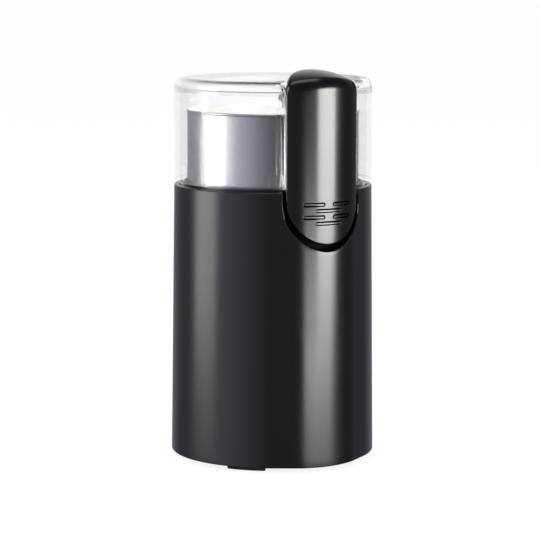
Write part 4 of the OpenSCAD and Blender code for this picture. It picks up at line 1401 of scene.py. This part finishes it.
@dataclass
class Studio:
    """Camera, floor, lamps and surroundings."""

    distance: float = 1062.0
    height: float = 234.3
    azimuth: float = 31.5
    pitch: float = 0.1383
    yaw: float = -0.00116
    roll: float = 0.0028
    focal: float = 2285.0
    frame: float = 540.0
    sensor: float = 36.0
    floor_glow: float = 1.25
    floor_share: float = 0.7
    lobe_bearing: float = -62.0
    lamp_colour: Colour = (1.0, 0.98, 0.965)

    def ways(self) -> tuple[Vector, Vector]:
        """Work out the camera's right-hand way and its way ahead, both level."""
        a = math.radians(self.azimuth)
        return Vector((math.cos(a), -math.sin(a), 0)), Vector((math.sin(a), math.cos(a), 0))

    def camera(self) -> None:
        """Stand the camera at its place and angle."""
        right, ahead = self.ways()
        turn = Matrix((right, ahead, (0, 0, 1))).transposed()
        cos_p, sin_p = math.cos(self.pitch), math.sin(self.pitch)
        look = Vector((math.sin(self.yaw) * cos_p, math.cos(self.yaw) * cos_p, -sin_p))
        side = Vector((math.cos(self.yaw), -math.sin(self.yaw), 0))
        up = side.cross(look)
        cos_r, sin_r = math.cos(self.roll), math.sin(self.roll)
        x_axis, y_axis = side * cos_r + up * sin_r, up * cos_r - side * sin_r
        bpy.ops.object.camera_add()
        camera = bpy.context.object
        camera.name = "camera"
        basis = Matrix((turn @ x_axis, turn @ y_axis, turn @ -look)).transposed()
        place = (turn @ Vector((0, -self.distance, self.height))) * MM
        camera.matrix_world = Matrix.Translation(place) @ basis.to_4x4()
        camera.data.sensor_width = self.sensor
        camera.data.lens = self.focal / self.frame * self.sensor
        camera.data.clip_start = 0.05
        camera.data.clip_end = 60
        bpy.context.scene.camera = camera

    def lamp(self, name: str, bearing: float, lift: float, away: float, size: Sequence[float],
             level: float) -> None:
        """Hang a soft box that faces the grinder.

        Args:
            name: Its name.
            bearing: Degrees to the right of the camera, seen from the grinder.
            lift: Height of its middle in metres.
            away: Level distance in metres.
            size: Width and height in metres.
            level: Brightness of its face, where 1 is white.
        """
        right, ahead = self.ways()
        a = math.radians(bearing)
        place = (-ahead * math.cos(a) + right * math.sin(a)) * away
        place.z = lift
        bpy.ops.object.light_add(type="AREA", location=place)
        lamp = bpy.context.object
        lamp.name = name
        lamp.data.shape = "RECTANGLE"
        lamp.data.size, lamp.data.size_y = size
        lamp.data.energy = level * math.pi * size[0] * size[1]
        lamp.data.color = self.lamp_colour
        aim = Vector((0, 0, place.z if away > 1 else 0.1)) - place
        lamp.rotation_euler = aim.to_track_quat("-Z", "Y").to_euler()

    def floor(self) -> None:
        """Lay a wide pale floor that keeps the grinder's shadow."""
        floor = Piece.start("floor", bpy.ops.mesh.primitive_plane_add, size=40)
        with floor.editing():
            bpy.ops.mesh.select_all(action="SELECT")
            bpy.ops.mesh.subdivide(number_cuts=3)
        made = bpy.data.materials.new("pale_floor")
        made.use_nodes = True
        graph = Graph(made.node_tree)
        path = graph.node("ShaderNodeLightPath")
        through = graph.out(path, "Is Transmission Ray")
        seen = graph.out(path, "Is Camera Ray")
        paint = graph.node("ShaderNodeBsdfDiffuse", None, {"Color": (0.86, 0.86, 0.86, 1)})
        glow = graph.node("ShaderNodeEmission", None, {
            "Color": (1, 1, 1, 1), "Strength": self.floor_glow})
        both = graph.node("ShaderNodeMixShader", None, {
            0: seen * self.floor_share, 1: graph.out(paint), 2: graph.out(glow)})
        gone = graph.node("ShaderNodeBsdfTransparent")
        floor_or_room = graph.node("ShaderNodeMixShader", None, {
            0: through, 1: graph.out(both), 2: graph.out(gone)})
        graph.node("ShaderNodeOutputMaterial", None, {0: graph.out(floor_or_room)})
        floor.obj.data.materials.append(made)
        floor.obj.visible_glossy = False
        floor.obj.visible_shadow = False
        floor.obj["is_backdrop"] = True

    def surroundings(self) -> None:
        """Light the room: white behind, and dim in what the grinder mirrors."""
        right, ahead = self.ways()
        world = bpy.data.worlds.new("room")
        world.use_nodes = True
        bpy.context.scene.world = world
        graph = Graph(world.node_tree)
        path = graph.node("ShaderNodeLightPath")
        through = graph.out(path, "Is Transmission Ray")
        depth = graph.out(path, "Transmission Depth")
        straight = through * (graph.out(path, "Glossy Depth") < 0.5)
        seen = graph.out(path, "Is Camera Ray").at_least(straight)
        way = graph.out(graph.node("ShaderNodeTexCoord"), "Generated")
        a = math.radians(self.lobe_bearing)
        left = -ahead * math.cos(a) + right * math.sin(a)
        lobe = graph.towards(way, left) ** 3
        behind = graph.towards(way, ahead)
        _, _, up = graph.parts(way)
        rising = ((up - 0.02) * 12).at_least(0.0).at_most(1.0)
        beyond = ((behind - 0.7) * 5).at_least(0.0).at_most(1.0)
        inside = 0.5 < depth
        white = (rising * (behind * 5).at_most(1.0)).at_least(beyond) * inside
        white = white.at_least(rising * beyond * 0.85)
        mirrored = (0.05 + 0.55 * lobe + 0.35 * behind ** 3) * (1 - white) + white
        glossy = graph.out(path, "Is Glossy Ray").at_least(through)
        level = glossy * mirrored + (1 - glossy) * 0.45
        bent = ((0.965 - behind) * 10).at_least((up + 0.07) * 10).at_least(0.0).at_most(1.0)
        level = seen * (1 + through * (0.1 - 0.85 * bent)) + (1 - seen) * level
        colour = graph.mixed(seen.at_least(white * glossy), (0.955, 0.975, 1.12), (1, 1, 1))
        sky = graph.node("ShaderNodeBackground", None, {"Color": colour, "Strength": level})
        graph.node("ShaderNodeOutputWorld", None, {0: graph.out(sky)})

    def build(self) -> None:
        """Set up the camera, the floor, the room and the lamps."""
        self.camera()
        self.floor()
        self.surroundings()
        self.lamp("left_soft_box", -83, 0.36, 1.3, (0.72, 1.0), 2.7)
        self.lamp("right_soft_box", 58.7, 0.14, 1.3, (0.75, 0.4), 11.3)
        self.lamp("low_soft_box", 55.5, -0.12, 1.3, (0.56, 0.12), 5.6)
        self.lamp("front_soft_box", 32, -0.12, 1.3, (0.58, 0.1), 11.0)
        self.lamp("top_soft_box", 20, 1.5, 0.15, (1.0, 1.0), 1.2)
        bpy.context.scene.view_settings.view_transform = "Standard"


def dress_inside(frame: dict[str, object]) -> None:
    """Give every solid that stays in sight the finish of its material slot, but painted shade black
    to the paddle's pocket and plunger.
    """
    slots = {part["node"]: part["material_slot"] for part in frame["record"]["subparts"]}
    for name, node in sorted(frame["nodes"].items()):
        if node.hide_render:
            continue
        # The pocket and the plunger, seen through the gap round the paddle, get painted shade black
        # in place of their own finish.
        painted_shade = name in ("paddle_pocket", "switch_plunger")
        finish = PAINTED_SHADE_BLACK if painted_shade else SLOT_FINISHES[slots[name]]
        node.data.materials.clear()
        node.data.materials.append(finish.material())
        log.info("%s: kept, in %s", name, finish.name)


def size_as_lists(box: object) -> object:
    """Turn a box of vectors into plain lists of numbers."""
    if isinstance(box, (int, float, str)) or box is None:
        return box
    if isinstance(box, dict):
        return {k: size_as_lists(v) for k, v in box.items()}
    return [size_as_lists(v) for v in box]


def main() -> None:
    """Load the part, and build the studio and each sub-assembly."""
    logging.basicConfig(level=logging.INFO, format="%(name)s: %(message)s")
    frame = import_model()
    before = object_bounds()
    Studio().build()
    housing = Housing()
    housing.build()
    Deck(housing).build()
    Paddle().build()
    Lid().build()
    Bowl().build()
    Cutter().build()
    Feet().build()
    CordInlet().build()
    dress_inside(frame)
    {"cad": size_as_lists(before), "visual": size_as_lists(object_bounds())}


if __name__ == "__main__":
    main()
